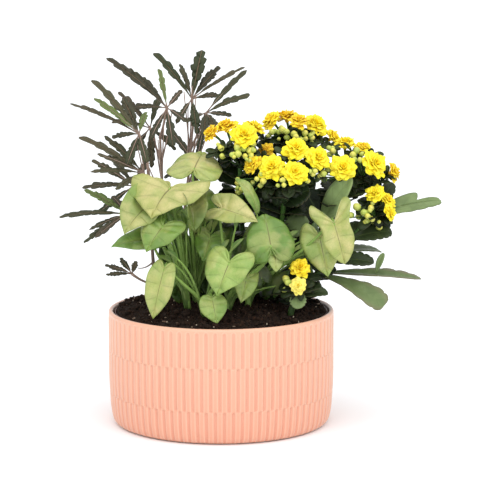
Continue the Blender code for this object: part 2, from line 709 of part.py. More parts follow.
KALANCHOE = {
    "kalanchoe_stem_1": (
        (22.0, 14.0),
        ((243, 250, 14), (241, 200, 14), (240, 166, 12)),
        (
            ((242, 208, 14), (216, 199, 6), 14.0, (-0.1, -0.8, 0.6)),
            ((242, 208, 14), (268, 196, 20), 15.0, (0.0, -0.8, 0.6)),
            ((243, 232, 14), (252, 236, -20), 13.0, (0.0, -0.8, 0.6)),
            ((243, 240, 14), (216, 232, 30), 15.5, (0.0, -0.7, 0.7)),
            ((241, 186, 14), (266, 173, 24), 13.0, (0.0, -0.7, 0.7)),
            ((241, 186, 14), (214, 168, 24), 13.5, (0.0, -0.6, 0.8)),
            ((243, 247, 14), (262, 256, 2), 13.0, (0.0, -0.85, 0.5)),
        ),
        (
            (211, 133, 12, 8.7, (-0.75, -0.35, 0.55)), (226, 126, 20, 9.7, (-0.25, -0.25, 0.93)),
            (244, 135, 2, 11.8, (0.0, -0.80, 0.60)), (254, 127, 24, 9.2, (0.45, -0.1, 0.9)),
            (265, 151, 26, 7.6, (-0.45, -0.70, 0.55)),
        ),
        (
            (221, 148, 4, 3.0), (234, 155, -5, 3.0), (238, 154, -8, 3.4), (245, 156, -4, 2.6),
            (253, 144, 4, 3.0), (251, 155, 0, 2.8),
        ),
    ),
    "kalanchoe_stem_2": (
        (44.0, 52.0),
        ((282, 250, 52), (290, 200, 50), (292, 152, 48)),
        (
            ((286, 225, 51), (254, 208, 56), 16.0, (0.0, -0.8, 0.6)),
            ((286, 225, 51), (320, 210, 62), 16.0, (0.0, -0.7, 0.7)),
            ((290, 195, 50), (266, 178, 72), 15.0, (0.0, -0.3, 0.9)),
            ((290, 195, 50), (316, 182, 40), 15.0, (0.0, -0.75, 0.65)),
            ((283, 250, 52), (286, 250, 92), 16.5, (0.0, 0.3, 0.95)),
            ((283, 246, 52), (320, 238, 44), 16.5, (0.0, -0.8, 0.6)),
            ((291, 180, 49), (324, 166, 64), 13.0, (0.0, -0.3, 0.95)),
            ((283, 246, 52), (250, 234, 46), 16.5, (0.0, -0.8, 0.6)),
        ),
        (
            (271, 120, 44, 9.5, (-0.6, -0.35, 0.7)), (286, 116, 58, 9.7, (-0.2, 0.1, 0.95)),
            (299, 121, 37, 9.1, (0.05, -0.45, 0.88)), (316, 124, 50, 11.4, (0.45, -0.45, 0.75)),
            (333, 137, 58, 8.5, (0.75, -0.2, 0.6)),
        ),
        (
            (272, 132, 34, 2.8), (283, 130, 32, 3.2), (294, 134, 30, 3.2), (305, 133, 34, 2.8),
            (312, 138, 38, 2.6),
        ),
    ),
    "kalanchoe_stem_3": (
        (46.0, 6.0),
        ((277, 255, 4), (282, 220, 0), (284, 192, -4)),
        (
            ((279, 238, 3), (309, 221, -12), 12.0, (0.2, -0.75, 0.6)),
            ((281, 225, 1), (258, 210, -2), 14.0, (0.0, -0.8, 0.6)),
            ((281, 218, 1), (304, 204, 10), 15.0, (0.0, -0.8, 0.6)),
            ((283, 204, -2), (310, 190, -10), 13.0, (0.1, -0.75, 0.65)),
            ((279, 240, 3), (254, 252, -16), 14.5, (0.0, -0.85, 0.5)),
            ((278, 250, 4), (308, 260, -10), 15.0, (0.1, -0.85, 0.5)),
        ),
        (
            (252, 165, -4, 8.7, (-0.7, -0.55, 0.5)), (272, 167, -14, 11.6, (-0.15, -0.80, 0.55)),
            (295, 172, -20, 10.8, (0.15, -0.85, 0.50)), (296, 149, -2, 11.8, (0.0, -0.70, 0.70)),
            (318, 158, -5, 10.8, (0.35, -0.75, 0.55)),
        ),
        (
            (263, 181, -16, 3.2), (283, 180, -22, 2.6), (243, 189, -6, 3.4), (238, 183, -2, 2.6),
            (313, 174, -12, 2.6), (308, 181, -10, 2.4),
        ),
    ),
    "kalanchoe_stem_4": (
        (72.0, 34.0),
        ((316, 250, 32), (334, 212, 28), (352, 186, 24)),
        (
            ((322, 228, 30), (352, 177, 2), 11.5, (-0.20, -0.80, 0.55)),
            ((343, 199, 26), (374, 188, 20), 8.0, (0.0, -0.5, 0.85)),
            ((318, 240, 32), (350, 226, 58), 15.5, (0.0, -0.5, 0.85)),
            ((332, 214, 28), (352, 200, 62), 13.0, (0.0, 0.2, 0.95)),
            ((318, 242, 32), (334, 264, 50), 15.5, (0.0, -0.7, 0.7)),
            ((324, 226, 30), (304, 190, 24), 14.0, (0.0, -0.85, 0.5)),
            ((343, 199, 26), (326, 180, 44), 12.0, (0.0, -0.4, 0.9)),
        ),
        (
            (345, 143, 38, 9.5, (0.0, -0.2, 0.95)), (343, 168, 0, 12.2, (0.0, -0.85, 0.50)),
            (364, 149, 30, 9.5, (0.4, -0.3, 0.85)), (375, 164, 10, 12.2, (0.45, -0.70, 0.55)),
            (394, 172, 20, 8.3, (0.95, -0.1, 0.25)),
        ),
        (
            (333, 151, 24, 2.8), (353, 155, 16, 3.2), (360, 160, 10, 2.6), (321, 176, 2, 3.4),
        ),
    ),
    "kalanchoe_stem_5": (
        (70.0, -2.0),
        ((318, 272, -4), (345, 246, 2), (371, 216, 10)),
        (
            ((352, 239, 1), (392, 232, 4), 10.0, (0.1, -0.6, 0.8)),
            ((345, 249, 0), (360, 222, 20), 8.0, (0.0, -0.6, 0.8)),
            ((370, 217, 10), (441, 201, 32), 11.0, (0.0, -0.62, 0.78)),
            ((368, 220, 9), (393, 183, 36), 7.5, (0.3, -0.6, 0.7)),
            ((326, 266, -3), (421, 279, -6), 10.0, (0.0, -0.30, 0.95), 0.15),
            ((322, 270, -4), (386, 304, -30), 10.0, (0.1, -0.60, 0.80)),
            ((338, 254, -1), (381, 252, 26), 8.5, (0.0, -0.3, 0.95)),
            ((330, 262, -3), (374, 263, -22), 9.0, (0.0, -0.6, 0.80)),
        ),
        (
            (375, 193, 4, 8.7, (-0.2, -0.6, 0.75)), (388, 200, 9, 7.3, (0.55, -0.5, 0.65)),
            (390, 212, -2, 7.5, (0.85, -0.4, 0.3)),
        ),
        (
            (357, 207, 0, 3.6), (366, 213, -2, 3.0), (371, 208, 0, 2.8), (372, 219, -4, 2.8),
            (379, 227, 2, 3.0),
        ),
    ),
    "kalanchoe_stem_6": (
        (62.0, -44.0),
        ((297, 300, -44), (299, 294, -45), (300, 288, -46)),
        (
            ((299, 291, -45), (297, 309, -58), 7.5, (0.0, -0.8, 0.6)),
            ((299, 296, -45), (328, 293, -40), 7.5, (0.0, -0.5, 0.85)),
        ),
        (
            (300, 268, -50, 9.3, (0.0, -0.70, 0.70)), (298, 286, -63, 7.2, (-0.1, -0.90, 0.40)),
        ),
        (
            (286, 279, -52, 3.2),
        ),
    ),
}

BLOOMS = []


def kalanchoe(name):
    """A leafy stem that branches at its top into flower stalks with buds. Its blooms are noted for later."""
    foot, path, leaves, blooms, buds = KALANCHOE[name]
    start, rise = root(foot[0], foot[1], 3.0)
    way = [start, rise] + [seen(*p) for p in path]
    hub = way[-1]
    pieces = []
    for joint, tip, half, face, *own in leaves:
        droop = own[0] if own else FLESHY_DROOP
        point = seen(*tip)
        hinge = seen(*joint)
        hinge += (point - hinge).normalized() * 1.2
        pieces.append(blade(hinge, point, face, half, SCALLOPED, KALANCHOE_THICK, 1, droop, 0.22))
    below = way[-2]
    forks = []
    for number, (across, down, depth, radius, face) in enumerate(blooms):
        centre = seen(across, down, depth)
        axis = Vector(face).normalized()
        end = centre - axis * (0.62 * radius + 0.3)
        BLOOMS.append((centre, axis, radius))
        start = hub.lerp(below, 0.3 * number / len(blooms))
        knee = end - axis * 6.0
        forks.append(start.lerp(knee, 0.72))
        pieces.append(tube([start, knee, end], (1.4, 1.2), 3))
    for across, down, depth, radius in buds:
        centre = seen(across, down, depth)
        fork = min(forks, key=lambda spot: (spot - centre).length)
        axis = (centre - fork + Vector((0.0, 0.0, 8.0))).normalized()
        pieces.append(bud(fork, centre, axis, radius))
    made = solid(name, tube(way, (3.0, 2.1)), (0.06, 0.16, 0.04), 0.45)
    return join_by(made, "UNION", pieces, "MANIFOLD")


def bloom(name, centre, axis, radius, number):
    """A double bloom: a short tube below two layers of pointed petals and a tight heart."""
    side = Vector((1.0, 0.0, 0.0)) if abs(axis.x) < 0.8 else Vector((0.0, 1.0, 0.0))
    side = (side - axis * side.dot(axis)).normalized()
    other = axis.cross(side)
    draw = random.Random(100 + number)

    def circle(reach, height, count, turn, notch=1.0, lift=0.0):
        row = []
        for k in range(count):
            angle = 2.0 * math.pi * (k + turn) / count
            out = reach if k % 2 == 0 or notch == 1.0 else reach * notch
            rise = height + (lift if k % 2 == 0 else 0.0)
            out *= radius * draw.uniform(0.94, 1.0)
            row.append(tuple(centre + out * (math.cos(angle) * side + math.sin(angle) * other)
                             + radius * rise * axis))
        return row

    rings = [
        circle(0.19, -0.62, PETALS, 0.0),
        circle(1.10, -0.12, 2 * PETALS, 0.0, 0.82, 0.08),
        circle(0.46, 0.08, PETALS, 0.25),
        circle(0.84, 0.26, 2 * PETALS, 1.0, 0.72, 0.12),
        circle(0.26, 0.42, PETALS, 0.25),
    ]
    return solid(name, skin(rings), (0.95, 0.62, 0.02), 0.45)


def build():
    """Clears the scene, then makes every node."""
    for thing in list(bpy.data.objects):
        bpy.data.objects.remove(thing)
    solid("pot", pot_shape(), (0.93, 0.55, 0.42), 0.3)
    solid("liner", liner_shape(), (0.35, 0.28, 0.26), 0.35)
    for name in ARALIA:
        aralia(name)
    for name in SYNGONIUM:
        syngonium(name)
    for name in KALANCHOE:
        kalanchoe(name)
    for number, (centre, axis, radius) in enumerate(BLOOMS, 1):
        bloom(f"kalanchoe_bloom_{number:02d}", centre, axis, radius, number)
    soil = solid("soil", soil_shape(), (0.02, 0.014, 0.01), 0.95)
    join_by(soil, "DIFFERENCE", HOLES)


build()
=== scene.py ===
"""The looks of the tropical dish garden: pot, soil, false aralia, arrowhead vine and double kalanchoe.

Every CAD node is replaced by finer pieces in the same place. Sizes are in millimetres until a piece is made.
"""

import math

import bpy
import numpy as np
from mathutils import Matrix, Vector, noise


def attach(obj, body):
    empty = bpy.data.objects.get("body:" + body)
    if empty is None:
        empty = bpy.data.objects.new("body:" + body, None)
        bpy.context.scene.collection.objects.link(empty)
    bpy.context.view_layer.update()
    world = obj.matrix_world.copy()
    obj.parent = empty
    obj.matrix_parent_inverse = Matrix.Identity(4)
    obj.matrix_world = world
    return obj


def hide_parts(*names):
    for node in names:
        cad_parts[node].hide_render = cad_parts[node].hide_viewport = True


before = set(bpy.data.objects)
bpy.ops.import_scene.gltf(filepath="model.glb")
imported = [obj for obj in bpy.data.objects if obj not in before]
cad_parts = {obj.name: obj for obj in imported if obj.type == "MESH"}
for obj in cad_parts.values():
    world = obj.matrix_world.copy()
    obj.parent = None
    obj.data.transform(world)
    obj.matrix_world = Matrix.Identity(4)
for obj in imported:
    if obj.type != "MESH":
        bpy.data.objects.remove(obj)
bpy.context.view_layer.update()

# Pot: up the outer wall (height, radius at the crests, share of the full rib depth where it isn't 1), then
# over the rim and down the inside (height, radius)
POT_WALL = (
    (0, 91, 0), (0.5, 93.2, 0.1), (1, 94.6, 0.35), (1.6, 95.7, 0.6), (2.4, 96.6, 0.85), (3.2, 97.2),
    (4.4, 97.8), (6, 98.3), (8.5, 98.9), (12, 99.5), (16, 100), (21, 100.4), (26, 100.7), (28, 100.8),
    (28.6, 100.8), (29, 100.8, 0.9), (29.3, 100.8, 0.8), (29.6, 100.8, 0.9), (30, 100.85), (30.6, 100.9),
    (33, 101.1), (40, 101.4), (48, 101.6), (57, 101.6), (64, 101.6), (66.4, 101.6), (67, 101.6),
    (67.4, 101.6, 0.9), (67.7, 101.6, 0.8), (68, 101.6, 0.9), (68.4, 101.6), (69, 101.6), (73, 101.6),
    (82, 101.6), (91, 101.6), (95, 101.6), (97.4, 101.6, 0.95), (98.6, 101.6, 0.75), (99.5, 101.6, 0.4),
    (100.2, 101.6, 0.12), (100.9, 101.5, 0), (101.7, 101.2, 0), (102.4, 100.7, 0), (102.85, 100.1, 0),
    (103, 99.4, 0),
)
POT_INSIDE = ((102.85, 98.6), (102.4, 97.9), (101.7, 97.4), (100.6, 97.1), (98, 96.9), (86, 95.9), (56, 93),
              (26, 90), (8, 88.2), (6.2, 86), (6, 60))
POT_HEIGHT = 103.0
POT_RIM = 102.0
POT_FLOOR = 6.0
RIBS = 80
RIB_DEPTH = 1.5
RIB_COLUMNS = 10
GROOVE_SHARPNESS = 2.8
BAND_EDGES = (29.3, 67.7)
BAND_STEP = 0.9
# Rows this close to a band edge get the crest colour: a painted highlight on the ledges there.
PAINTED_HIGHLIGHT_LEDGE = 0.65

LINER_TOP = 101.2
LINER_RADIUS = 95.6
LINER_FOOT_RADIUS = 86.6
LINER_WALL = 0.9
LINER_GAP = 0.3
LINER_SIDES = 240

SOIL_RADIUS = 94.0
SOIL_EDGE = 99.4
SOIL_CROWN = 111.5
SOIL_SIDES = 300
SOIL_ROWS = 64
SOIL_SKIRT = 93.6
SOIL_FOOT = 85.0
CRUMB_REACH = 92.8
STEM_DEPTH = 26.0

# The front view that the plants are laid out in: the eye, the sine of its downward tilt and the scale
VIEW_EYE = (26.0, -2000.0, 479.0)
VIEW_SIN = 0.15944
VIEW_COS = 0.98721
VIEW_SCALE = 2255.0
VIEW_MIDDLE = 250.0

# Light and camera, in metres
FLOOR_RADIUS = 9.0
FLOOR_LEVEL = -0.0002
FLOOR_SIDES = 64
FLOOR_TINT = (0.93, 0.95, 0.97, 1.0)
SKY_TINT = (0.985, 0.995, 1.0, 1.0)
SKY_POWER = 0.90
SUNS = (("key", (0.10, -0.55, 1.0), 1.6, 1.45), ("fill", (0.0, -1.0, 0.8), 2.2, 0.5))
EYE = (0.026, -2.0, 0.479)
TARGET = (0.026, 0.0, 0.156)
LENS = 162.36
SENSOR = 36.0

FRONT_UP = (0.0, -0.72, 0.70)
LEAF_THICK = 0.6
FLESHY_THICK = 1.4
PETAL_THICK = 0.35
NARROW_THICK = 0.7


def vec(*numbers):
    return np.array(numbers, float)


def unit(way):
    return way / np.linalg.norm(way)


def seen(across, down, depth):
    """The point at this depth along Y that stands at (across, down) in the front view."""
    rise = (VIEW_MIDDLE - down) / VIEW_SCALE
    back = depth - VIEW_EYE[1]
    fall = back * (VIEW_COS * rise - VIEW_SIN) / (VIEW_COS + VIEW_SIN * rise)
    far = VIEW_COS * back - VIEW_SIN * fall
    return vec(VIEW_EYE[0] + (across - VIEW_MIDDLE) / VIEW_SCALE * far, depth, VIEW_EYE[2] + fall)


def soil_level(reach):
    """Height of the soil at this distance from the axis, before its lumps."""
    share = min(reach / SOIL_RADIUS, 1.0)
    return SOIL_CROWN - (SOIL_CROWN - SOIL_EDGE) * share ** 2.2


def root(x, y):
    """Where a stem begins in the soil, and a little above where it comes out of it."""
    level = soil_level(math.hypot(x, y))
    return vec(x, y, level - STEM_DEPTH), vec(x, y, level + 3.0)


# Pieces: triangles with smooth or flat faces, and five values at each corner

VALUES = ("vein", "reach", "tone", "pale", "under")


def link(name, data):
    """A new object in the scene."""
    made = bpy.data.objects.new(name, data)
    bpy.context.scene.collection.objects.link(made)
    return made


class Pile:
    """Collects the triangles of one piece."""

    def __init__(self):
        self.points = []
        self.faces = []
        self.smooth = []
        self.values = {name: [] for name in VALUES}
        self.count = 0

    def add(self, points, faces, smooth=True, **values):
        """Values are one number, one for each point, or one for each corner of each face."""
        self.points.append(points)
        self.faces.append(faces + self.count)
        self.count += len(points)
        flags = np.ones(len(faces), bool) if smooth is True else smooth
        self.smooth.append(flags)
        for name in VALUES:
            given = np.asarray(values.get(name, 0.0), float)
            if given.ndim == 1:
                given = given[faces]
            self.values[name].append(np.broadcast_to(given, faces.shape))

    def make(self, name, paint, slot, *nodes):
        """The finished piece, riding on the part, in place of these CAD nodes."""
        points = np.concatenate(self.points) * 0.001
        faces = np.concatenate(self.faces)
        mesh = bpy.data.meshes.new(name)
        mesh.vertices.add(len(points))
        mesh.vertices.foreach_set("co", points.astype(np.float32).ravel())
        mesh.loops.add(faces.size)
        mesh.loops.foreach_set("vertex_index", faces.astype(np.int32).ravel())
        mesh.polygons.add(len(faces))
        mesh.polygons.foreach_set("loop_start", np.arange(0, faces.size, 3, dtype=np.int32))
        mesh.polygons.foreach_set("use_smooth", np.concatenate(self.smooth))
        mesh.update(calc_edges=True)
        for value in VALUES:
            layer = mesh.attributes.new(value, "FLOAT", "CORNER")
            layer.data.foreach_set("value", np.concatenate(self.values[value]).astype(np.float32).ravel())
        mesh.materials.append(paint)
        piece = link(name, mesh)
        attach(piece, "root")
        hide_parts(*nodes)


def through(points, steps):
    """A smooth line through the points, with this many steps between two of them."""
    points = np.array(points, float)
    padded = np.concatenate([2 * points[:1] - points[1:2], points, 2 * points[-1:] - points[-2:-1]])
    line = []
    for a, b, c, d in zip(padded, padded[1:], padded[2:], padded[3:]):
        for k in range(steps):
            t = k / steps
            line.append(0.5 * (2 * b + (c - a) * t + (2 * a - 5 * b + 4 * c - d) * t * t
                               + (3 * b - a - 3 * c + d) * t ** 3))
    line.append(points[-1])
    return np.array(line)


def curve(points, count):
    """Evenly stepped points on a Bezier curve with these corners."""
    points = [np.asarray(p, float) for p in points]
    t = np.linspace(0.0, 1.0, count + 1)[:, None]
    level = [np.repeat(p[None], count + 1, 0) for p in points]
    while len(level) > 1:
        level = [a * (1 - t) + b * t for a, b in zip(level, level[1:])]
    return level[0]


# Leaf patterns: a flat leaf cut into triangles, with the midrib at u = 0

class Pattern:
    """A flat leaf from rows of (half width, place along, foot on the midrib), from tip to base.

    Each row of points runs from its foot out to the edge, as a side vein does.
    """

    def __init__(self, rows, rings, other=None):
        sides = [np.asarray(rows, float), np.asarray(rows if other is None else other, float)]
        share = np.arange(rings + 1) / rings
        spots = []
        tris = []
        for number, side in enumerate(sides):
            u = side[:, :1] * share * (1 - 2 * number)
            w = side[:, 2:3] + (side[:, 1:2] - side[:, 2:3]) * share
            s = np.linspace(0.0, 1.0, len(side))[:, None] + 0 * share
            t = np.tile(share, (len(side), 1))
            start = sum(len(block) for block in spots)
            spots.append(np.stack([u, w, s, t], 2).reshape(-1, 4))
            i, k = np.meshgrid(np.arange(len(side) - 1), np.arange(rings), indexing="ij")
            a = (start + i * (rings + 1) + k).ravel()
            b = a + rings + 1
            halves = np.concatenate([np.stack([a, a + 1, b + 1], 1), np.stack([a, b + 1, b], 1)])
            tris.append(halves if number else halves[:, ::-1])
        spots = np.concatenate(spots)
        tris = np.concatenate(tris)
        places, first, where = np.unique(np.round(spots[:, :2], 6) + 0.0, axis=0, return_index=True,
                                         return_inverse=True)
        where = where.ravel()
        merged = where[tris]
        a, b, c = merged.T
        good = (a != b) & (b != c) & (c != a)
        tris = tris[good]
        merged = merged[good]
        loose = np.concatenate([tris[:, [0, 1]], tris[:, [1, 2]], tris[:, [2, 0]]])
        pairs = where[loose]
        outer = ~np.isin(pairs[:, 0] * len(places) + pairs[:, 1], pairs[:, 1] * len(places) + pairs[:, 0])
        self.u, self.w = places.T
        self.s, self.t = spots[first, 2:].T
        count = len(places)
        rim = pairs[outer]
        self.faces = np.concatenate([
            merged,
            merged[:, ::-1] + count,
            np.stack([rim[:, 1], rim[:, 0], rim[:, 0] + count], 1),
            np.stack([rim[:, 1], rim[:, 0] + count, rim[:, 1] + count], 1),
        ])
        edge = loose[outer]
        corners = np.concatenate([tris, tris[:, ::-1], edge[:, [1, 0, 0]], edge[:, [1, 0, 1]]])
        self.corner_s = spots[corners, 2]
        self.corner_t = spots[corners, 3]
        self.top = merged
        self.smooth = np.arange(len(self.faces)) < 2 * len(merged)
        self.under = np.zeros((len(self.faces), 1))
        self.under[len(merged):2 * len(merged)] = 1.0

    def put(self, pile, points, thick, **values):
        """Adds the pattern, bent to these points, with its thickness (less at the edge)."""
        corners = points[self.top]
        cross = np.cross(corners[:, 1] - corners[:, 0], corners[:, 2] - corners[:, 0])
        normals = np.zeros_like(points)
        for k in range(3):
            np.add.at(normals, self.top[:, k], cross)
        normals /= np.maximum(np.linalg.norm(normals, axis=1), 1e-9)[:, None]
        half = 0.5 * thick * (1.0 - 0.7 * self.t ** 4)[:, None]
        both = np.concatenate([points + half * normals, points - half * normals])
        pile.add(both, self.faces, self.smooth, vein=self.corner_s, reach=self.corner_t, under=self.under,
                 **values)

    def leaf(self, pile, thick, joint, tip, face, half, droop, fold, tone=0.0, pale=0.0, **bends):
        """Adds the pattern as a leaf, bent as spread says."""
        points = spread(self.u, self.w, joint, tip, face, half, droop, fold, **bends)
        self.put(pile, points, thick, tone=tone, pale=pale)


def spread(u, w, joint, tip, face, half, droop, fold, cup=0.0, wave=0.0, lift=0.0, curl=(0, 0)):
    """A flat leaf's points bent into place, from its joint to its tip, its upper side towards face.

    droop, fold and curl are angles in radians: from joint to tip, of each half, and of each half's roll at
    its edge, first the half with u above 0.
    """
    chord = np.linalg.norm(tip - joint)
    along = (tip - joint) / chord
    up = unit(np.asarray(face, float) - along * np.dot(along, face))
    side = np.cross(along, up)
    angle = droop * w
    radius = chord * 0.5 / math.sin(0.5 * droop)
    roll = np.where(u > 0, curl[0], curl[1]) + 0.001
    out = np.sin(roll * np.abs(u)) / roll * half
    down = half * (1 - np.cos(roll * np.abs(u))) / roll
    lift = out * math.sin(fold) - down + cup * half * u * u + lift
    lift = lift + wave * u * u * np.sin(3.0 * math.pi * w + np.where(u > 0, 1.3, 0.0))
    x = np.sign(u) * out * math.cos(fold)
    y = (radius + lift) * np.sin(angle)
    z = (radius + lift) * np.cos(angle) - radius
    ahead = y * math.cos(0.5 * droop) - z * math.sin(0.5 * droop)
    above = y * math.sin(0.5 * droop) + z * math.cos(0.5 * droop)
    return joint + x[:, None] * side + ahead[:, None] * along + above[:, None] * up


# Stems and buds

def tube(pile, path, radii, sides=9, **values):
    """A tapered tube along the path, closed and rounded at both ends."""
    radii = np.interp(np.linspace(0, 1, len(path)), np.linspace(0, 1, len(radii)), radii)
    ahead = unit(path[1] - path[0])
    behind = unit(path[-1] - path[-2])
    path = np.concatenate([path[:1] - 0.4 * radii[0] * ahead, path, path[-1:] + 0.4 * radii[-1] * behind])
    radii = np.concatenate([[0.55 * radii[0]], radii, [0.55 * radii[-1]]])
    rows = len(path)
    ways = np.gradient(path, axis=0)
    ways /= np.linalg.norm(ways, axis=1)[:, None]
    across = vec(1, 0, 0) if abs(ways[0][0]) < 0.9 else vec(0, 1, 0)
    angles = 2 * math.pi * np.arange(sides) / sides
    points = []
    for centre, way, radius in zip(path, ways, radii):
        across = unit(across - way * np.dot(across, way))
        other = np.cross(way, across)
        points.append(centre + radius * (np.cos(angles)[:, None] * across + np.sin(angles)[:, None] * other))
    share = np.repeat(np.linspace(0, 1, rows), sides)
    pile.add(np.concatenate([*points, path[:1], path[-1:]]), closed(rows, sides),
             reach=np.concatenate([share, [0.0, 1.0]]), **values)


def closed(rows, sides):
    """Triangles of rings of points, closed at their ends by the two points that follow the rings.

    They face outwards where each ring runs anticlockwise as seen from the last one.
    """
    i, j = np.meshgrid(np.arange(rows - 1), np.arange(sides), indexing="ij")
    a = (i * sides + j).ravel()
    b = (i * sides + (j + 1) % sides).ravel()
    j = np.arange(sides)
    after = (j + 1) % sides
    first = np.full(sides, rows * sides)
    last = (rows - 1) * sides
    return np.concatenate([
        np.stack([a, b, b + sides], 1),
        np.stack([a, b + sides, a + sides], 1),
        np.stack([first, after, j], 1),
        np.stack([first + 1, last + j, last + after], 1),
    ])


def across_of(axis):
    """Two directions square to the axis."""
    side = vec(1, 0, 0) if abs(axis[0]) < 0.8 else vec(0, 1, 0)
    side = unit(side - axis * np.dot(side, axis))
    return side, np.cross(axis, side)


def lathe(pile, centre, axis, profile, sides=10, lobes=0, **values):
    """A closed round body about an axis, from (radius, height) pairs. Lobes flute it."""
    side, other = across_of(axis)
    angles = 2 * math.pi * np.arange(sides) / sides
    flute = 1.0 + 0.06 * np.cos(lobes * angles) if lobes else np.ones(sides)
    points = []
    for radius, height in profile[1:-1]:
        x = (radius * flute * np.cos(angles))[:, None]
        y = (radius * flute * np.sin(angles))[:, None]
        points.append(centre + height * axis + x * side + y * other)
    ends = [(centre + height * axis)[None] for _, height in (profile[0], profile[-1])]
    share = np.repeat(np.linspace(0.08, 0.92, len(points)), sides)
    pile.add(np.concatenate(points + ends), closed(len(points), sides),
             reach=np.concatenate([share, [0.0, 1.0]]), **values)


def stalk(pile, corners, steps, radii, sides, **values):
    """A tube along a Bezier curve with these corners."""
    tube(pile, curve(corners, steps), radii, sides, **values)


BUD_PROFILE = ((0.0, -1.12), (0.50, -1.02), (0.82, -0.62), (0.98, -0.10), (0.90, 0.42), (0.60, 0.86),
               (0.30, 1.06), (0.0, 1.18))


def bud(pile, centre, axis, radius, tone):
    """A round flower bud with four faint flutes."""
    lathe(pile, centre, axis, [(radius * r, radius * h) for r, h in BUD_PROFILE], 12, 4, tone=tone)


# Finishes

def tint(colour):
    """A colour from its three eight-bit values, as a shader takes it; a socket stays as it is."""
    if isinstance(colour, bpy.types.NodeSocket):
        return colour
    shares = [part / 255.0 for part in colour]
    return (*(part / 12.92 if part <= 0.04045 else ((part + 0.055) / 1.055) ** 2.4 for part in shares), 1.0)


class Paint:
    """A material whose colour is laid on in coats by nodes, with plain numbers set on its shader."""

    def __init__(self, name, **sockets):
        self.made = bpy.data.materials.new(name)
        self.made.use_nodes = True
        self.tree = self.made.node_tree
        self.shader = self.tree.nodes["Principled BSDF"]
        self.colour = None
        for key, value in sockets.items():
            self.shader.inputs[key.replace("_", " ")].default_value = value
        self.places = self.node("ShaderNodeTexCoord", {}, "Object")

    def node(self, kind, inputs, output=0, **settings):
        made = self.tree.nodes.new(kind)
        for key, value in settings.items():
            setattr(made, key, value)
        for key, value in inputs.items():
            if isinstance(value, bpy.types.NodeSocket):
                self.tree.links.new(value, made.inputs[key])
            else:
                made.inputs[key].default_value = value
        return made.outputs[output]

    def value(self, name):
        return self.node("ShaderNodeAttribute", {}, "Fac", attribute_name=name)

    def math(self, operation, *numbers):
        return self.node("ShaderNodeMath", dict(enumerate(numbers)), operation=operation)

    def times(self, first, second):
        return self.math("MULTIPLY", first, second)

    def fade(self, value, low, high, first=0.0, last=1.0):
        """Turns low..high into first..last, smoothly."""
        inputs = {"Value": value, "From Min": low, "From Max": high, "To Min": first, "To Max": last}
        return self.node("ShaderNodeMapRange", inputs, interpolation_type="SMOOTHSTEP")

    def noise(self, scale, detail=3.0, stretch=None, roughness=0.5):
        places = self.places
        if stretch:
            places = self.node("ShaderNodeMapping", {"Vector": places, "Scale": stretch})
        inputs = {"Vector": places, "Scale": scale, "Detail": detail, "Roughness": roughness}
        return self.node("ShaderNodeTexNoise", inputs)

    def cloud(self, scale, detail, low, high, last=1.0, stretch=None):
        """Soft patches of noise, up to the last value."""
        return self.fade(self.noise(scale, detail, stretch), low, high, 0.0, last)

    def net(self, scale, width):
        """1 on a fine net of veins and 0 between them."""
        inputs = {"Vector": self.places, "Scale": scale}
        away = self.node("ShaderNodeTexVoronoi", inputs, "Distance", feature="DISTANCE_TO_EDGE")
        return self.fade(away, width, 0.0)

    def lines(self, value, count, width):
        """1 on count evenly spaced lines of the value and 0 between them."""
        spot = self.math("FRACT", self.times(value, count))
        away = self.math("ABSOLUTE", self.math("SUBTRACT", spot, 0.5))
        return self.fade(away, 0.5 - width, 0.5)

    def mix(self, share, first, second):
        """From the first colour to the second; each is a socket or three eight-bit values."""
        return self.node("ShaderNodeMix", {0: share, 6: tint(first), 7: tint(second)}, 2, data_type="RGBA")

    def coat(self, share, *colour):
        """Lays one more colour over what is there."""
        self.colour = self.mix(share, self.colour, colour)

    def finish(self, height=None, bump=0.0, depth=0.0, roughness=None):
        """Joins the colour, the bumps and the roughness to the shader."""
        self.tree.links.new(self.colour, self.shader.inputs["Base Color"])
        if roughness is not None:
            self.tree.links.new(roughness, self.shader.inputs["Roughness"])
        if height is not None:
            inputs = {"Height": height, "Strength": bump, "Distance": depth}
            self.tree.links.new(self.node("ShaderNodeBump", inputs), self.shader.inputs["Normal"])
        return self.made


def paint_glaze():
    """Peach glaze: painted shade in the grooves and inside, painted highlight where it runs thin over the rib
    edges.
    """
    p = Paint("glaze", Roughness=0.34, Coat_Weight=0.3, Coat_Roughness=0.18)
    reach = p.value("reach")
    # Groove colours are darker than crest colours: painted shade in the grooves.
    low = p.mix(p.value("vein"), (220, 150, 124), (226, 168, 142))
    high = p.mix(p.value("vein"), (220, 155, 128), (225, 171, 143))
    p.colour = p.mix(p.fade(reach, 0.2, 0.8), low, high)
    # Painted highlight: a paler band along the edges of each rib, where the glaze also runs thin.
    thin_glaze_and_highlight = p.times(p.fade(reach, 0.55, 0.85), p.fade(reach, 0.995, 0.93))
    p.coat(p.times(thin_glaze_and_highlight, 0.5), 231, 190, 162)
    p.coat(p.cloud(38.0, 4.0, 0.3, 0.7, 0.14), 225, 161, 133)
    p.coat(p.cloud(900.0, 2.0, 0.62, 0.78, 0.2), 234, 196, 172)
    # Painted shade: the inner wall below the rim is a dark greyish brown, with half of it on top of the rim.
    inside = p.mix(p.cloud(60.0, 5.0, 0.45, 0.75, 0.6), (191, 166, 157), (117, 91, 82))
    p.colour = p.mix(p.value("pale"), p.colour, inside)
    return p.finish(p.noise(500.0), 0.05, 0.0003)


def paint_liner():
    p = Paint("liner", Roughness=0.38)
    p.colour = p.mix(p.noise(120.0, 4.0), (62, 30, 26), (104, 60, 52))
    return p.finish(roughness=p.fade(p.noise(300.0), 0.3, 0.7, 0.3, 0.55))


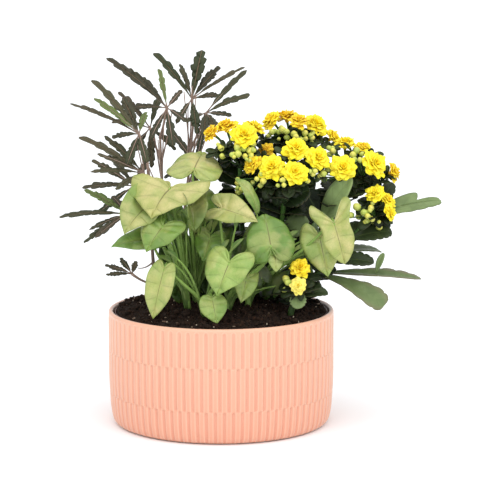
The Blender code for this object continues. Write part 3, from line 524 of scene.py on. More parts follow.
def paint_soil():
    p = Paint("soil", Roughness=0.95, Specular_IOR_Level=0.2)
    p.colour = p.mix(p.fade(p.noise(650.0, 6.0, roughness=0.7), 0.35, 0.68), (12, 8, 6), (54, 38, 28))
    p.coat(p.fade(p.value("tone"), 0.0, 1.0, 0.0, 0.55), 66, 42, 28)
    p.coat(p.cloud(2400.0, 2.0, 0.70, 0.8, 0.6), 150, 122, 96)
    return p.finish(p.noise(1400.0, 6.0, roughness=0.7), 0.8, 0.0015)


def paint_grit():
    p = Paint("grit", Roughness=0.85)
    p.colour = p.mix(p.value("tone"), (84, 54, 36), (206, 190, 166))
    p.coat(p.cloud(1200.0, 4.0, 0.4, 0.7, 0.5), 84, 62, 46)
    return p.finish(p.noise(1500.0, 4.0), 0.6, 0.0006)


def paint_aralia():
    """Bronze and grey-green leaflets with a pale midrib and faint side veins."""
    p = Paint("aralia_leaf", Roughness=0.46, Specular_IOR_Level=0.22)
    reach = p.value("reach")
    p.colour = p.mix(p.value("tone"), (34, 40, 28), (84, 74, 60))
    p.coat(p.cloud(140.0, 4.0, 0.35, 0.7, 0.45), 62, 64, 46)
    p.coat(p.value("pale"), 104, 122, 66)
    p.coat(p.times(p.value("under"), 0.5), 88, 78, 68)
    side = p.times(p.lines(p.value("vein"), 12.0, 0.10), p.fade(reach, 0.0, 0.5, 1.0, 0.25))
    p.coat(p.times(side, 0.3), 104, 96, 76)
    p.coat(p.fade(reach, 0.02, 0.14, 0.8, 0.0), 136, 112, 92)
    return p.finish(side, 0.25, 0.0004, p.fade(p.noise(300.0), 0.3, 0.7, 0.38, 0.58))


def paint_stalk(name, low, high, fleck, roughness):
    """Stalks go from the low colour at their foot to the high one, with flecks along them."""
    p = Paint(name, Roughness=roughness, Specular_IOR_Level=0.2)
    p.colour = p.mix(p.value("reach"), low, high)
    p.coat(p.cloud(420.0, 3.0, 0.48, 0.7, 0.55, (1.0, 1.0, 0.22)), *fleck)
    p.coat(p.times(p.value("pale"), 0.5), *high)
    return p.finish(p.noise(700.0, 3.0, (1.0, 1.0, 0.2)), 0.2, 0.0003)


def paint_syngonium():
    """Lime leaves with cream patches and a fine net of darker veins; a near black green is painted shade."""
    p = Paint("syngonium_leaf", Roughness=0.40, Specular_IOR_Level=0.45)
    reach = p.value("reach")
    p.colour = p.mix(p.value("tone"), (68, 101, 29), (152, 174, 92))
    p.coat(p.cloud(90.0, 4.0, 0.3, 0.72, 0.6), 104, 142, 52)
    p.coat(p.cloud(45.0, 3.0, 0.5, 0.7, 0.5, (1.0, 1.0, 0.6)), 70, 108, 34)
    p.coat(p.fade(reach, 0.5, 0.0, 0.0, 0.35), 165, 179, 100)
    cream = p.mix(p.cloud(70.0, 5.0, 0.35, 0.7), (191, 183, 121), (159, 164, 87))
    cream = p.mix(p.fade(reach, 0.75, 1.0, 0.0, 0.3), cream, (135, 159, 76))
    # Cream patches from noise: partly the leaves' own mottling, partly painted highlight.
    patches = p.fade(p.noise(55.0, 4.0), 0.4, 0.65, -0.2, 0.32)
    p.colour = p.mix(p.math("ADD", p.value("pale"), patches), p.colour, cream)
    # Painted shade: leaves with brightness below zero turn towards a near black green.
    p.coat(p.fade(p.value("tone"), -1.0, 0.0, 0.8, 0.0), 16, 28, 10)
    vein = p.times(p.lines(p.value("vein"), VEIN_GAPS, 0.05), p.fade(reach, 0.05, 0.3))
    # Broad darker bands along the side veins, where the blade dips between its swellings: partly the leaf's
    # own greener colour there, partly painted shade in these creases.
    band = p.times(p.lines(p.value("vein"), VEIN_GAPS, 0.32), p.fade(reach, 0.0, 0.3))
    p.coat(p.times(band, 0.10), 88, 125, 46)
    p.coat(p.times(vein, 0.2), 90, 102, 44)
    p.coat(p.times(p.net(330.0, 0.06), 0.22), 85, 114, 42)
    p.coat(p.fade(reach, 0.010, 0.03, 0.8, 0.0), 96, 86, 44)
    p.coat(p.times(p.value("under"), 0.55), 168, 176, 121)
    height = p.math("ADD", vein, p.times(p.noise(380.0, 4.0), 0.5))
    return p.finish(height, 0.5, 0.0007, p.fade(p.noise(200.0), 0.3, 0.7, 0.30, 0.5))


def paint_kalanchoe():
    """Fleshy leaves from near black green (painted shade) to grey-green, some with a mauve flush, with a dark
    fine edge.
    """
    p = Paint("kalanchoe_leaf", Roughness=0.36, Specular_IOR_Level=0.16)
    reach = p.value("reach")
    # The pale value runs from near black green, painted shade for leaves deep in the plant, to the leaves'
    # own grey-green bloom, made paler than it is as painted light against the shade under the blooms.
    p.colour = p.mix(p.math("POWER", p.value("pale"), 1.7), (8, 18, 6), (164, 188, 124))
    p.coat(p.cloud(80.0, 4.0, 0.35, 0.7, 0.25), 34, 56, 24)
    p.coat(p.times(p.fade(p.value("tone"), 0.7, 1.0), p.fade(reach, 0.5, 1.0, 0.0, 0.6)), 142, 116, 104)
    p.coat(p.fade(reach, 0.95, 1.0, 0.0, 0.45), 92, 78, 56)
    p.coat(p.fade(reach, 0.02, 0.10, 0.2, 0.0), 110, 130, 78)
    p.coat(p.times(p.value("under"), 0.3), 92, 112, 76)
    p.coat(p.times(p.lines(p.value("vein"), 5.0, 0.08), 0.16), 70, 94, 50)
    return p.finish(p.noise(600.0), 0.15, 0.0003, p.fade(p.noise(160.0), 0.3, 0.7, 0.26, 0.44))


def paint_petal():
    """Lemon yellow, more orange towards the petal bases and on some blooms: partly their own colour, partly
    painted shade.
    """
    p = Paint("kalanchoe_petal", Roughness=0.55, Specular_IOR_Level=0.3)
    # Both colours turn orange towards the petal base, and the deep colour is used on some blooms more than
    # others: partly the petals' own colour, partly painted shade deep in the blooms and on the lower ones.
    lemon = p.mix(p.fade(p.value("vein"), 0.1, 0.9), (254, 246, 40), (252, 218, 16))
    deep = p.mix(p.fade(p.value("vein"), 0.0, 0.9), (250, 212, 30), (216, 142, 20))
    p.colour = p.mix(p.value("tone"), lemon, deep)
    p.coat(p.value("pale"), 246, 236, 130)
    p.coat(p.times(p.value("under"), 0.15), 240, 190, 40)
    p.coat(p.cloud(260.0, 3.0, 0.4, 0.7, 0.2), 252, 240, 70)
    p.coat(p.fade(p.value("reach"), 0.0, 0.10, 0.2, 0.0), 236, 170, 10)
    return p.finish(p.noise(900.0), 0.12, 0.0003)


def paint_bud():
    """Green at the base, then pale yellow."""
    p = Paint("kalanchoe_bud", Roughness=0.42)
    reach = p.value("reach")
    pale = p.mix(p.value("tone"), (176, 194, 88), (222, 220, 116))
    p.colour = p.mix(p.fade(reach, 0.0, 0.45), (112, 146, 58), pale)
    p.coat(p.times(p.fade(reach, 0.4, 1.0), p.value("tone")), 246, 224, 84)
    p.coat(p.cloud(500.0, 3.0, 0.45, 0.7, 0.3), 196, 206, 104)
    return p.finish(p.noise(900.0), 0.1, 0.0003)


# Pot, liner and soil

def ring(radius, angles, height):
    """Points round the pot's axis."""
    return np.stack([radius * np.cos(angles), radius * np.sin(angles), np.full(len(angles), height)], 1)


def build_pot():
    """Three bands of broad ribs with narrow grooves, each band turned half a rib against the next."""
    columns = RIBS * RIB_COLUMNS
    turn = np.arange(columns) / RIB_COLUMNS
    angles = 2 * math.pi * turn / RIBS
    wall = [(height, radius, ribs[0] if ribs else 1.0, 0.0) for height, radius, *ribs in POT_WALL]
    # Inner wall rows carry the share of painted shade: all of it below the rim, half above.
    wall += [(height, radius, 0.0, 1.0 if height < POT_RIM else 0.5) for height, radius in POT_INSIDE]
    points = []
    crest = []
    for height, radius, ribs, _ in wall:
        shift = sum(min(max((height - edge) / BAND_STEP + 0.5, 0.0), 1.0) for edge in BAND_EDGES)
        low = math.floor(shift)
        depth = np.zeros(columns)
        shallow = np.ones(columns)
        for offset, weight in ((low, 1 - shift + low), (low + 1, shift - low)):
            away = turn + 0.5 * offset
            away = away - np.round(away)
            groove = (0.5 - 0.5 * np.cos(2.0 * math.pi * away)) ** GROOVE_SHARPNESS
            depth += weight * groove
            shallow = np.minimum(shallow, groove)
        points.append(ring(radius - RIB_DEPTH * ribs * depth, angles, height))
        # Rows near the band edges take the crest colour of the shallower groove: a painted highlight on the
        # ledges.
        painted_ledge_highlight = any(abs(height - edge) < PAINTED_HIGHLIGHT_LEDGE for edge in BAND_EDGES)
        crest.append(1.0 - ribs * (shallow if painted_ledge_highlight else depth))
    points.append(vec([0, 0, 0], [0, 0, POT_FLOOR]))
    rise = np.repeat([height / POT_HEIGHT for height, *_ in wall] + [0], [columns] * len(wall) + [2])
    # The share of painted shade on each row, for the inner wall.
    inside = np.repeat([row[3] for row in wall] + [0, 1], [columns] * len(wall) + [1, 1])
    pile = Pile()
    pile.add(np.concatenate(points), closed(len(wall), columns), vein=rise, pale=inside,
             reach=np.concatenate([*crest, [0.0, 0.0]]))
    pile.make("pot_glazed", paint_glaze(), "pot_glaze", "pot")


def build_liner():
    """The thin liner, of which only the rounded edge shows."""
    floor = POT_FLOOR + LINER_GAP
    edge = ((-0.6, -6.0), (0.0, -1.2), (0.3, -0.3), (0.0, 0.0), (-0.5 * LINER_WALL, -0.1),
            (-LINER_WALL, -0.6), (-LINER_WALL - 0.3, -6.0))
    profile = [(0.0, floor), (LINER_FOOT_RADIUS, floor)]
    profile += [(LINER_RADIUS + out, LINER_TOP + up) for out, up in edge]
    profile += [(LINER_FOOT_RADIUS - LINER_WALL, floor + LINER_WALL), (0.0, floor + LINER_WALL)]
    pile = Pile()
    lathe(pile, vec(0, 0, 0), vec(0, 0, 1), profile, LINER_SIDES)
    pile.make("liner_edge", paint_liner(), "liner_plastic", "liner")


def rough(x, y, scale, seed):
    """Lumpy noise at a point, about -1 to 1."""
    return noise.fractal(Vector((x * scale, y * scale, seed)), 0.8, 2.1, 4)


def soil_height(x, y):
    """Lumps on the mound, which is banked up to the rim at both sides and most at the back."""
    reach = math.hypot(x, y)
    calm = min(max((SOIL_RADIUS - reach) / 4.0, 0.3), 1.0)
    lumps = 2.4 * rough(x, y, 0.05, 3.0) + 1.9 * rough(x, y, 0.19, 9.0) + 0.8 * rough(x, y, 0.6, 5.0)
    bank = (reach / SOIL_RADIUS) ** 4 * (2.4 * (x / SOIL_RADIUS) ** 2 + 4.4 * max(y, 0.0) / SOIL_RADIUS)
    heap = bank + 1.6 * math.exp(-((x + 84.0) ** 2 + y ** 2) / 900.0)
    return soil_level(reach) + calm * lumps + heap


def build_soil():
    """A lumpy mound, with crumbs, pale grit and chips of bark lying on it."""
    floor = POT_FLOOR + LINER_GAP + LINER_WALL + LINER_GAP
    angles = 2 * math.pi * np.arange(SOIL_SIDES) / SOIL_SIDES
    rings = [ring(SOIL_RADIUS * (row / SOIL_ROWS) ** 0.85, angles, 0.0) for row in range(1, SOIL_ROWS + 1)]
    for points in rings:
        points[:, 2] = [soil_height(x, y) for x, y, _ in points]
    rings += [ring(SOIL_SKIRT, angles, SOIL_EDGE - 3.0), ring(SOIL_FOOT, angles, floor)]
    mound = Pile()
    mound.add(np.concatenate([*rings, vec([0, 0, soil_height(0, 0)], [0, 0, floor])]),
              closed(len(rings), SOIL_SIDES)[:, ::-1])
    mound.make("soil_mound", paint_soil(), "potting_soil", "soil")
    draw = np.random.RandomState(11)
    coarse = stone(0)
    fine = stone(1)
    crumbs = Pile()
    scatter(crumbs, draw, 2600, (0.5, 1.4), 1.0, coarse, (0.0, 1.0))
    scatter(crumbs, draw, 620, (1.2, 2.8), 0.9, fine, (0.0, 0.7))
    scatter(crumbs, draw, 190, (2.6, 4.6), 0.8, fine, (0.0, 0.4))
    crumbs.make("soil_crumbs", paint_soil(), "potting_soil", "soil")
    grit = Pile()
    scatter(grit, draw, 90, (0.5, 1.3), 1.0, fine, (0.4, 1.0))
    scatter(grit, draw, 50, (0.9, 2.2), 0.35, fine, (0.0, 0.35))
    grit.make("soil_grit", paint_grit(), "potting_soil", "soil")


def stone(level):
    """A round stone's points and triangles."""
    golden = (1 + 5 ** 0.5) / 2
    points = [vec(*p) for p in ((-1, golden, 0), (1, golden, 0), (-1, -golden, 0), (1, -golden, 0),
                                (0, -1, golden), (0, 1, golden), (0, -1, -golden), (0, 1, -golden),
                                (golden, 0, -1), (golden, 0, 1), (-golden, 0, -1), (-golden, 0, 1))]
    points = [unit(p) for p in points]
    faces = [(0, 11, 5), (0, 5, 1), (0, 1, 7), (0, 7, 10), (0, 10, 11), (1, 5, 9), (5, 11, 4), (11, 10, 2),
             (10, 7, 6), (7, 1, 8), (3, 9, 4), (3, 4, 2), (3, 2, 6), (3, 6, 8), (3, 8, 9), (4, 9, 5),
             (2, 4, 11), (6, 2, 10), (8, 6, 7), (9, 8, 1)]
    for _ in range(level):
        halves = {}
        finer = []
        for a, b, c in faces:
            mids = []
            for pair in ((a, b), (b, c), (c, a)):
                key = tuple(sorted(pair))
                if key not in halves:
                    halves[key] = len(points)
                    points.append(unit(points[key[0]] + points[key[1]]))
                mids.append(halves[key])
            ab, bc, ca = mids
            finer += [(a, ab, ca), (b, bc, ab), (c, ca, bc), (ab, bc, ca)]
        faces = finer
    return np.array(points), np.array(faces)


def scatter(pile, draw, count, sizes, flat, shape, tones):
    """Small lumps on the soil, more of them near its edge."""
    ball, faces = shape
    for _ in range(count):
        reach = CRUMB_REACH * draw.uniform(0.02, 1.0) ** 0.55
        angle = draw.uniform(0, 2 * math.pi)
        size = draw.uniform(*sizes) * draw.uniform(0.7, 1.0)
        x = (reach - 0.3 * size) * math.cos(angle)
        y = (reach - 0.3 * size) * math.sin(angle)
        lumps = ball * (1 + draw.uniform(-0.22, 0.22, (len(ball), 1))) * draw.uniform(0.6, 1.2, 3)
        turn = unit(draw.normal(size=3))
        side, other = across_of(turn)
        lumps = lumps @ np.stack([side, other, turn]) * size
        lumps[:, 2] *= flat
        centre = vec(x, y, soil_height(x, y) + 0.35 * size * flat)
        pile.add(centre + lumps, faces, tone=draw.uniform(*tones))


# False aralia, for each cane: its foot, its path, the fronds (start of the petiole, hub, and each leaflet's
# tip and half width), and the two ends of the thin young petioles beside it
ARALIA = (
    (
        (-59, 12), ((152, 245, 13), (151, 195, 15), (147, 158, 17)),
        (
            (
                (147, 160, 17), (139, 134, 17),
                (
                    (92, 80, 14, 3.8), (94, 98, 8, 3.8), (70, 104, 13, 2.6), (123, 99, 22, 5.4),
                    (112, 138, 6, 3.6), (127, 165, 8, 4.4), (147, 163, 6, 4.2), (146, 112, 24, 3.4),
                ),
            ),
            (
                (151, 195, 15), (143, 173, 12),
                (
                    (79, 137, 8, 3.8), (104, 136, 12, 3.8), (97, 154, 4, 3.4), (90, 172, 9, 3),
                    (116, 190, 0, 3.8), (132, 196, -4, 3.4),
                ),
            ),
            (
                (152, 232, 14), (127, 214, 14),
                (
                    (84, 190, 16, 4.2), (59, 217, 12, 3.6), (89, 230, 14, 2.6), (95, 238, 6, 3.6),
                    (84, 243, 12, 3.2), (112, 196, 24, 3.6),
                ),
            ),
            (
                (153, 284, 12), (132, 274, 8),
                ((105, 265, 6, 2.8), (106, 275, 2, 2.6), (120, 258, 10, 2.8), (137, 261, 2, 3)),
            ),
        ),
        (
            ((150, 205, 14), (141, 150, 15)), ((149, 196, 12), (136, 138, 14)),
            ((150, 215, 16), (146, 150, 18)), ((152, 235, 14), (134, 214, 10)),
            ((152, 225, 12), (128, 206, 12)), ((153, 262, 13), (138, 268, 8)),
        ),
    ),
    (
        (-48, 42), ((164, 230, 42), (162, 180, 42), (160, 136, 43)),
        (
            (
                (160, 138, 43), (167, 108, 42),
                (
                    (106, 58, 34, 4.2), (134, 72, 42, 4.2), (159, 69, 52, 2.8), (182, 90, 44, 3.2),
                    (187, 122, 34, 3.4), (173, 146, 28, 4.2), (150, 140, 30, 3.4), (128, 108, 36, 3.6),
                ),
            ),
            (
                (161, 160, 42), (150, 128, 54),
                (
                    (118, 92, 60, 3.6), (112, 122, 62, 3.4), (128, 158, 52, 3.8), (152, 168, 56, 4),
                    (176, 150, 66, 3.6), (160, 96, 74, 3.6),
                ),
            ),
            (
                (163, 200, 42), (134, 186, 62),
                (
                    (92, 160, 64, 3.8), (82, 188, 66, 3.8), (98, 214, 62, 3.8), (128, 226, 60, 3.8),
                    (150, 158, 84, 3.8), (112, 160, 84, 3.4),
                ),
            ),
        ),
        (
            ((162, 182, 42), (154, 132, 50)), ((162, 170, 40), (164, 118, 42)),
            ((163, 196, 44), (146, 160, 58)), ((162, 160, 42), (172, 112, 44)),
            ((163, 190, 40), (158, 140, 40)),
        ),
    ),
    (
        (-30, 58), ((184, 230, 60), (189, 170, 60), (193, 124, 60)),
        (
            (
                (193, 126, 60), (192, 99, 60),
                (
                    (154, 53, 58, 4.2), (180, 64, 72, 3), (202, 50, 58, 6.4), (220, 67, 62, 4.6),
                    (245, 67, 66, 2.6), (222, 96, 56, 3.4), (176, 124, 56, 3.4), (197, 134, 44, 4.2),
                ),
            ),
            (
                (190, 150, 60), (206, 113, 50),
                (
                    (247, 70, 46, 3.6), (250, 95, 42, 4), (232, 116, 40, 3.4), (216, 130, 36, 4.4),
                    (204, 136, 30, 4.4), (186, 122, 44, 3),
                ),
            ),
            (
                (187, 190, 60), (196, 166, 86),
                (
                    (170, 130, 98, 4), (204, 126, 100, 3.8), (228, 150, 98, 3.8), (226, 178, 92, 3.8),
                    (196, 200, 92, 4), (164, 178, 96, 3.8),
                ),
            ),
        ),
        (
            ((188, 176, 60), (188, 104, 60)), ((189, 168, 58), (196, 96, 58)),
            ((188, 180, 60), (200, 112, 54)), ((190, 150, 60), (184, 92, 60)),
            ((190, 158, 58), (206, 116, 50)), ((189, 172, 62), (192, 86, 60)),
            ((188, 184, 58), (212, 120, 46)),
        ),
    ),
)

# Leaflets that are green, not bronze, by their tip
GREEN_TIPS = ((159, 69), (94, 98), (146, 112), (84, 190))

# How far a leaflet's tip stands back for each pixel up from its hub, and the half width of a blunt leaflet
LEANING = 0.35
BROAD = 5.0


def leaflet_rows(draw, teeth, blunt):
    """One edge of a leaflet from tip to base: a few teeth that point forward, widest past the middle."""
    rows = [(0.0, 1.0, 1.0)]
    edges = np.linspace(0.95, 0.24, teeth + 1) + draw.uniform(-0.042, 0.042, teeth + 1)
    for high, low in zip(edges, edges[1:]):
        middle = 0.5 * (high + low)
        wide = math.sin(math.pi * middle ** (2.0 if blunt else 1.5)) ** (0.6 if blunt else 0.8)
        out = wide * draw.uniform(0.80, 1.10)
        step = high - low
        rows.append((out * 0.74, high + 0.02 * step, high - 0.10))
        rows.append((out, high - 0.16 * step, high - 0.16 * step - 0.10))
        rows.append((out * 0.97, high - 0.50 * step, low + 0.02))
        rows.append((out * draw.uniform(0.78, 0.88), low + 0.10 * step, low - 0.06))
    rows += [(0.24, 0.19, 0.10), (0.12, 0.10, 0.05), (0.10, 0.0, 0.0)]
    return [(u, w, min(max(foot, 0.0), w)) for u, w, foot in rows]


def build_aralia():
    """Three canes with palmate fronds of long toothed leaflets, each with a pale midrib."""
    draw = np.random.RandomState(5)
    patterns = []
    for teeth, blunt in [(n, False) for n in (4, 5, 5, 6, 5, 4, 6, 5, 5, 4, 6, 5)] + [(5, True)]:
        patterns.append(Pattern(leaflet_rows(draw, teeth, blunt), 2, leaflet_rows(draw, teeth, blunt)))
    leaf_paint = paint_aralia()
    stalk_paint = paint_stalk("aralia_stalk", (36, 30, 26), (172, 146, 132), (64, 52, 44), 0.5)
    draw = np.random.RandomState(21)
    for number, (foot, path, fronds, petioles) in enumerate(ARALIA, 1):
        leaves = Pile()
        stalks = Pile()
        way = through([*root(*foot), *(seen(*p) for p in path)], 5)
        knots = 1.9 - np.linspace(0, 0.9, len(way)) + 0.2 * (np.arange(len(way)) % 4 == 0)
        tube(stalks, way, knots, 12, tone=0.2)
        for spot, end in petioles:
            low = seen(*spot)
            high = seen(*end)
            stalk(stalks, (low, 0.5 * (low + high) - vec(0, 0, 4), high), 10, (0.9, 0.6, 0.45), 6, pale=1)
        for start, hub, leaflets in fronds:
            low = seen(*start)
            middle = seen(*hub)
            knee = 0.5 * (low + middle) - vec(0, 0, 3)
            stalk(stalks, (low, knee, middle), 10, (1.7, 1.0, 1.1, 1.4), 8, pale=1)
            for across, down, depth, half in leaflets:
                tip = seen(across, down, depth + LEANING * (hub[1] - down))
                pattern = patterns[-1] if half > BROAD else patterns[draw.randint(len(patterns) - 1)]
                droop = draw.uniform(0.25, 0.65)
                fold = draw.uniform(0.10, 0.30)
                lift = 0.40 * np.sin(9.0 * pattern.w + draw.uniform(0, 6)) * pattern.u ** 2
                pale = 0.75 if (across, down) in GREEN_TIPS else draw.uniform(0.0, 0.12)
                pattern.leaf(leaves, LEAF_THICK, middle, tip, FRONT_UP, half * 1.12, droop, fold, lift=lift,
                             tone=draw.uniform(0, 1), pale=pale)
                spine = np.linspace(0.0, 0.86, 9)
                line = spread(0 * spine, spine, middle, tip, FRONT_UP, half, 0.35, 0.0, lift=0.25)
                tube(stalks, line, (0.75, 0.5, 0.42, 0.3, 0.16), 5, pale=1)
        name = f"aralia_stem_{number}"
        leaves.make(name + "_leaves", leaf_paint, "aralia_leaf", name)
        stalks.make(name + "_stalks", stalk_paint, "aralia_leaf", name)


# Arrowhead vine, for each clump: the foot and height of its crown; the leaves (joint, tip, half width, face,
# then droop, fold and cup, outline, how far each half curls, how cream and how bright the leaf is, below zero
# towards the painted shade green); the small leaves between the stalks, painted dark as shade (joint, tip,
# half width); and the ends of the thin extra stalks
SYNGONIUM = (
    (
        (-29, -40, 12),
        (
            (
                (170, 188, -36), (151, 218, -64), 36, (-0.15, -0.55, 0.8), (0.7, 0.04, 0.08), "arrow",
                (0.2, -0.1), 0.95, 0.6,
            ),
            (
                (146, 207, -42), (124, 234, -62), 21, (-0.3, -0.8, 0.5), (0.6, 0.15, 0.1), "arrow",
                (-1, 0.3), 0.4, 0.6,
            ),
            (
                (163, 226, -60), (146, 252, -72), 20, (-0.2, -0.8, 0.55), (0.5, 0.12, 0.12), "arrow",
                (0.5, 0.3), 0, 0.55,
            ),
            (
                (147, 240, -44), (111, 247, -50), 13, (0, -0.55, 0.83), (0.5, 0.2, 0.05), "arrow",
                (0.2, 0.5), 0, 0.2,
            ),
            (
                (176, 214, -24), (160, 236, -34), 12, (0.1, -0.75, 0.6), (0.4, 0.1, 0.05), "arrow",
                (0.2, 0.2), 0, 0.5,
            ),
            (
                (178, 262, -12), (170, 292, -20), 12, (-0.2, -0.8, 0.55), (0.4, 0.1, 0.05), "arrow",
                (0.3, 0.3), 0, 0.1,
            ),
        ),
        (
            ((184, 250, -14), (178, 226, -10), 10), ((168, 262, -20), (160, 242, -22), 9),
            ((176, 284, -16), (166, 264, -14), 8), ((190, 270, -6), (180, 248, -2), 9),
            ((180, 290, -10), (164, 270, -6), 11),
        ),
        (
            (166, 226, -44), (171, 222, -40), (158, 230, -50), (178, 226, -30), (150, 230, -44),
            (155, 224, -50), (162, 230, -40), (168, 232, -34), (174, 228, -30), (180, 230, -26),
            (160, 226, -36), (186, 232, -30),
        ),
    ),
    (
        (-22, -16, 14),
        (
            (
                (194, 169, -8), (203, 152, 28), 26, (0, -0.34, 0.94), (0.3, -0.06, 0.05), "round",
                (0.5, 0.3), 0.7, 1,
            ),
            (
                (203, 207, -8), (207, 187, 20), 14, (0.1, -0.45, 0.88), (0.4, 0.08, 0.05), "arrow",
                (0.2, 0.2), 0, 0.2,
            ),
            (
                (210, 238, -30), (203, 262, -44), 14, (0, -0.8, 0.6), (0.4, 0.1, 0.05), "arrow", (0.3, 0.3),
                0, 0.15,
            ),
            (
                (202, 258, 6), (196, 286, -2), 12.5, (0.15, -0.8, 0.6), (0.4, 0.1, 0.05), "arrow",
                (0.3, 0.3), 0, 0.1,
            ),
            # Brightness below zero: this folded leaf is partly painted with the shade green.
            (
                (191, 207, -48), (194, 232, -56), 12.5, (0.4, -0.8, 0.4), (0.5, 0.5, 0.2), "arrow",
                (-0.8, -0.7), 0.45, -0.4,
            ),
        ),
        (
            ((212, 232, 0), (214, 208, 6), 10), ((200, 238, -6), (199, 214, 0), 10),
            ((208, 236, 4), (207, 208, 8), 10), ((222, 244, -4), (232, 224, 0), 10),
            ((190, 262, -8), (188, 240, -6), 9), ((206, 270, 2), (214, 250, 4), 9),
            ((196, 292, 4), (188, 266, 10), 12), ((200, 290, 6), (206, 262, 12), 12),
            ((192, 296, 0), (172, 278, 6), 11), ((204, 294, 8), (222, 272, 14), 12),
            ((198, 268, 12), (186, 242, 16), 12), ((204, 266, 12), (214, 240, 16), 12),
            ((190, 270, 6), (172, 250, 10), 11), ((177, 226, -14), (179, 200, -8), 9),
        ),
        (
            (184, 222, -34), (190, 230, -38), (199, 232, -30), (206, 222, -22), (192, 226, -20),
            (196, 234, -24), (202, 226, -16), (208, 232, -20), (214, 228, -24), (188, 218, -10),
            (178, 228, -12), (184, 230, -6),
        ),
    ),
    (
        (-14, -58, 10),
        (
            (
                (164, 269, -70), (153, 319, -73), 13.6, (-0.15, -0.85, 0.5), (0.4, 0.16, 0.08), "shield",
                (0.4, 0.1), 0.5, 1,
            ),
            (
                (229, 263, -76), (217, 296, -88), 23, (-0.3, -0.85, 0.45), (0.4, 0.12, 0.08), "arrow",
                (0.4, 0.2), 0.15, 1,
            ),
            (
                (212, 298, -74), (217, 324, -84), 12.4, (0, -0.8, 0.6), (0.4, 0.1, 0.1), "shield",
                (0.2, 0.4), 0.1, 0.85,
            ),
        ),
        (((236, 272, -48), (228, 252, -44), 9),),
        ((176, 258, -62), (232, 250, -56), (170, 262, -60), (222, 250, -50), (240, 260, -50)),
    ),
    (
        (6, -46, 11),
        (
            (
                (246, 279, -58), (241, 303, -68), 11.5, (0.2, -0.88, 0.45), (0.4, 0.2, 0.05), "arrow",
                (0.2, 0.4), 0.2, 0.8,
            ),
            (
                (223, 209, -38), (258, 222, -52), 15.5, (-0.05, -0.72, 0.68), (0.4, 0.15, 0.1), "arrow",
                (0.5, 0.1), 0.85, 0.5,
            ),
            (
                (271, 247, -62), (264, 214, -40), 23, (0.1, -0.8, 0.6), (0.5, 0.1, 0.05), "round",
                (0.6, 0.8), 0, 0.2,
            ),
            (
                (275, 254, -60), (276, 272, -68), 8, (0.15, -0.85, 0.45), (0.4, 0.2, 0.05), "round",
                (0.2, 0.3), 0.05, 0.7,
            ),
        ),
        (
            ((262, 278, -44), (254, 260, -40), 9), ((276, 286, -36), (290, 270, -32), 8),
            ((236, 290, -20), (228, 264, -12), 12), ((244, 288, -20), (254, 262, -12), 12),
            ((240, 262, -10), (240, 238, -4), 12), ((252, 248, -20), (254, 218, -14), 10),
        ),
        (
            (236, 226, -44), (258, 256, -50), (268, 252, -48), (282, 246, -44), (250, 246, -50),
            (276, 248, -46),
        ),
    ),
    (
        (24, -30, 14),
        (
            (
                (334, 223, -46), (345, 264, -58), 19, (0, -0.85, 0.5), (0.4, 0.14, 0.06), "eared",
                (0.4, -0.3), 0.8, 0.9,
            ),
            (
                (320, 238, -36), (328, 277, -44), 19, (-0.15, -0.8, 0.55), (0.5, 0.1, 0.06), "arrow",
                (0.5, 0.2), 0.35, 1,
            ),
            (
                (257, 214, -26), (235, 178, -20), 6.5, (0.42, -0.7, 0.6), (1.5, 0.15, 0), "strap",
                (0.2, 0.2), 0.05, 0.6,
            ),
        ),
        (
            ((304, 276, -24), (300, 256, -18), 9), ((262, 286, -14), (270, 262, -8), 11),
            ((312, 250, -20), (315, 220, -12), 9),
        ),
        (
            (296, 250, -34), (304, 240, -30), (288, 238, -26), (310, 252, -34), (292, 262, -30),
            (300, 256, -24),
        ),
    ),
    (
        (3, 60, 10),
        (
            (
                (218, 244, 72), (211, 269, 100), 17, (-0.1, 0.6, 0.8), (0.5, 0.12, 0.08), "arrow",
                (0.4, 0.2), 0.2, 0.7,
            ),
            (
                (238, 233, 74), (247, 263, 98), 16, (0.15, 0.65, 0.75), (0.5, 0.12, 0.08), "round",
                (0.2, 0.4), 0.1, 0.5,
            ),
            (
                (226, 217, 52), (222, 231, 88), 18, (0, 0.4, 0.9), (0.5, 0.12, 0.08), "arrow", (0.3, 0.3),
                0.6, 0.7,
            ),
        ),
        (), ((214, 230, 70), (234, 226, 66)),
    ),
)

# Outlines from tip to base: half width, place along the leaf, foot on the midrib
SYNGONIUM_OUTLINES = {
    "arrow": (
        (0, 1, 1), (0.16, 0.9, 0.8), (0.4, 0.76, 0.6), (0.76, 0.48, 0.34), (0.97, 0.16, 0.14),
        (0.99, -0.16, 0.04), (0.82, -0.4, 0), (0.5, -0.47, 0), (0.18, -0.3, 0), (0.03, -0.1, 0), (0, 0, 0),
    ),
    "round": (
        (0, 1, 1), (0.14, 0.95, 0.84), (0.44, 0.82, 0.68), (0.84, 0.5, 0.42), (1, 0.14, 0.16),
        (0.92, -0.18, 0.05), (0.64, -0.37, 0), (0.3, -0.38, 0), (0.07, -0.22, 0), (0.015, -0.08, 0),
        (0, 0, 0),
    ),
    "eared": (
        (0, 1, 1), (0.24, 0.92, 0.84), (0.54, 0.72, 0.6), (0.74, 0.44, 0.36), (0.68, 0.14, 0.14),
        (0.82, -0.1, 0.06), (1, -0.3, 0.02), (0.96, -0.48, 0), (0.72, -0.55, 0), (0.36, -0.28, 0),
        (0.1, -0.04, 0), (0, 0, 0),
    ),
    "shield": (
        (0, 1, 1), (0.16, 0.93, 0.84), (0.46, 0.8, 0.68), (0.88, 0.54, 0.46), (1, 0.26, 0.28),
        (0.86, 0.02, 0.12), (0.6, -0.14, 0.04), (0.3, -0.15, 0), (0.07, -0.06, 0), (0, 0, 0),
    ),
    "strap": (
        (0, 1, 1), (0.5, 0.86, 0.76), (0.9, 0.66, 0.54), (1, 0.44, 0.34), (0.8, 0.22, 0.12), (0.35, 0, 0),
    ),
}

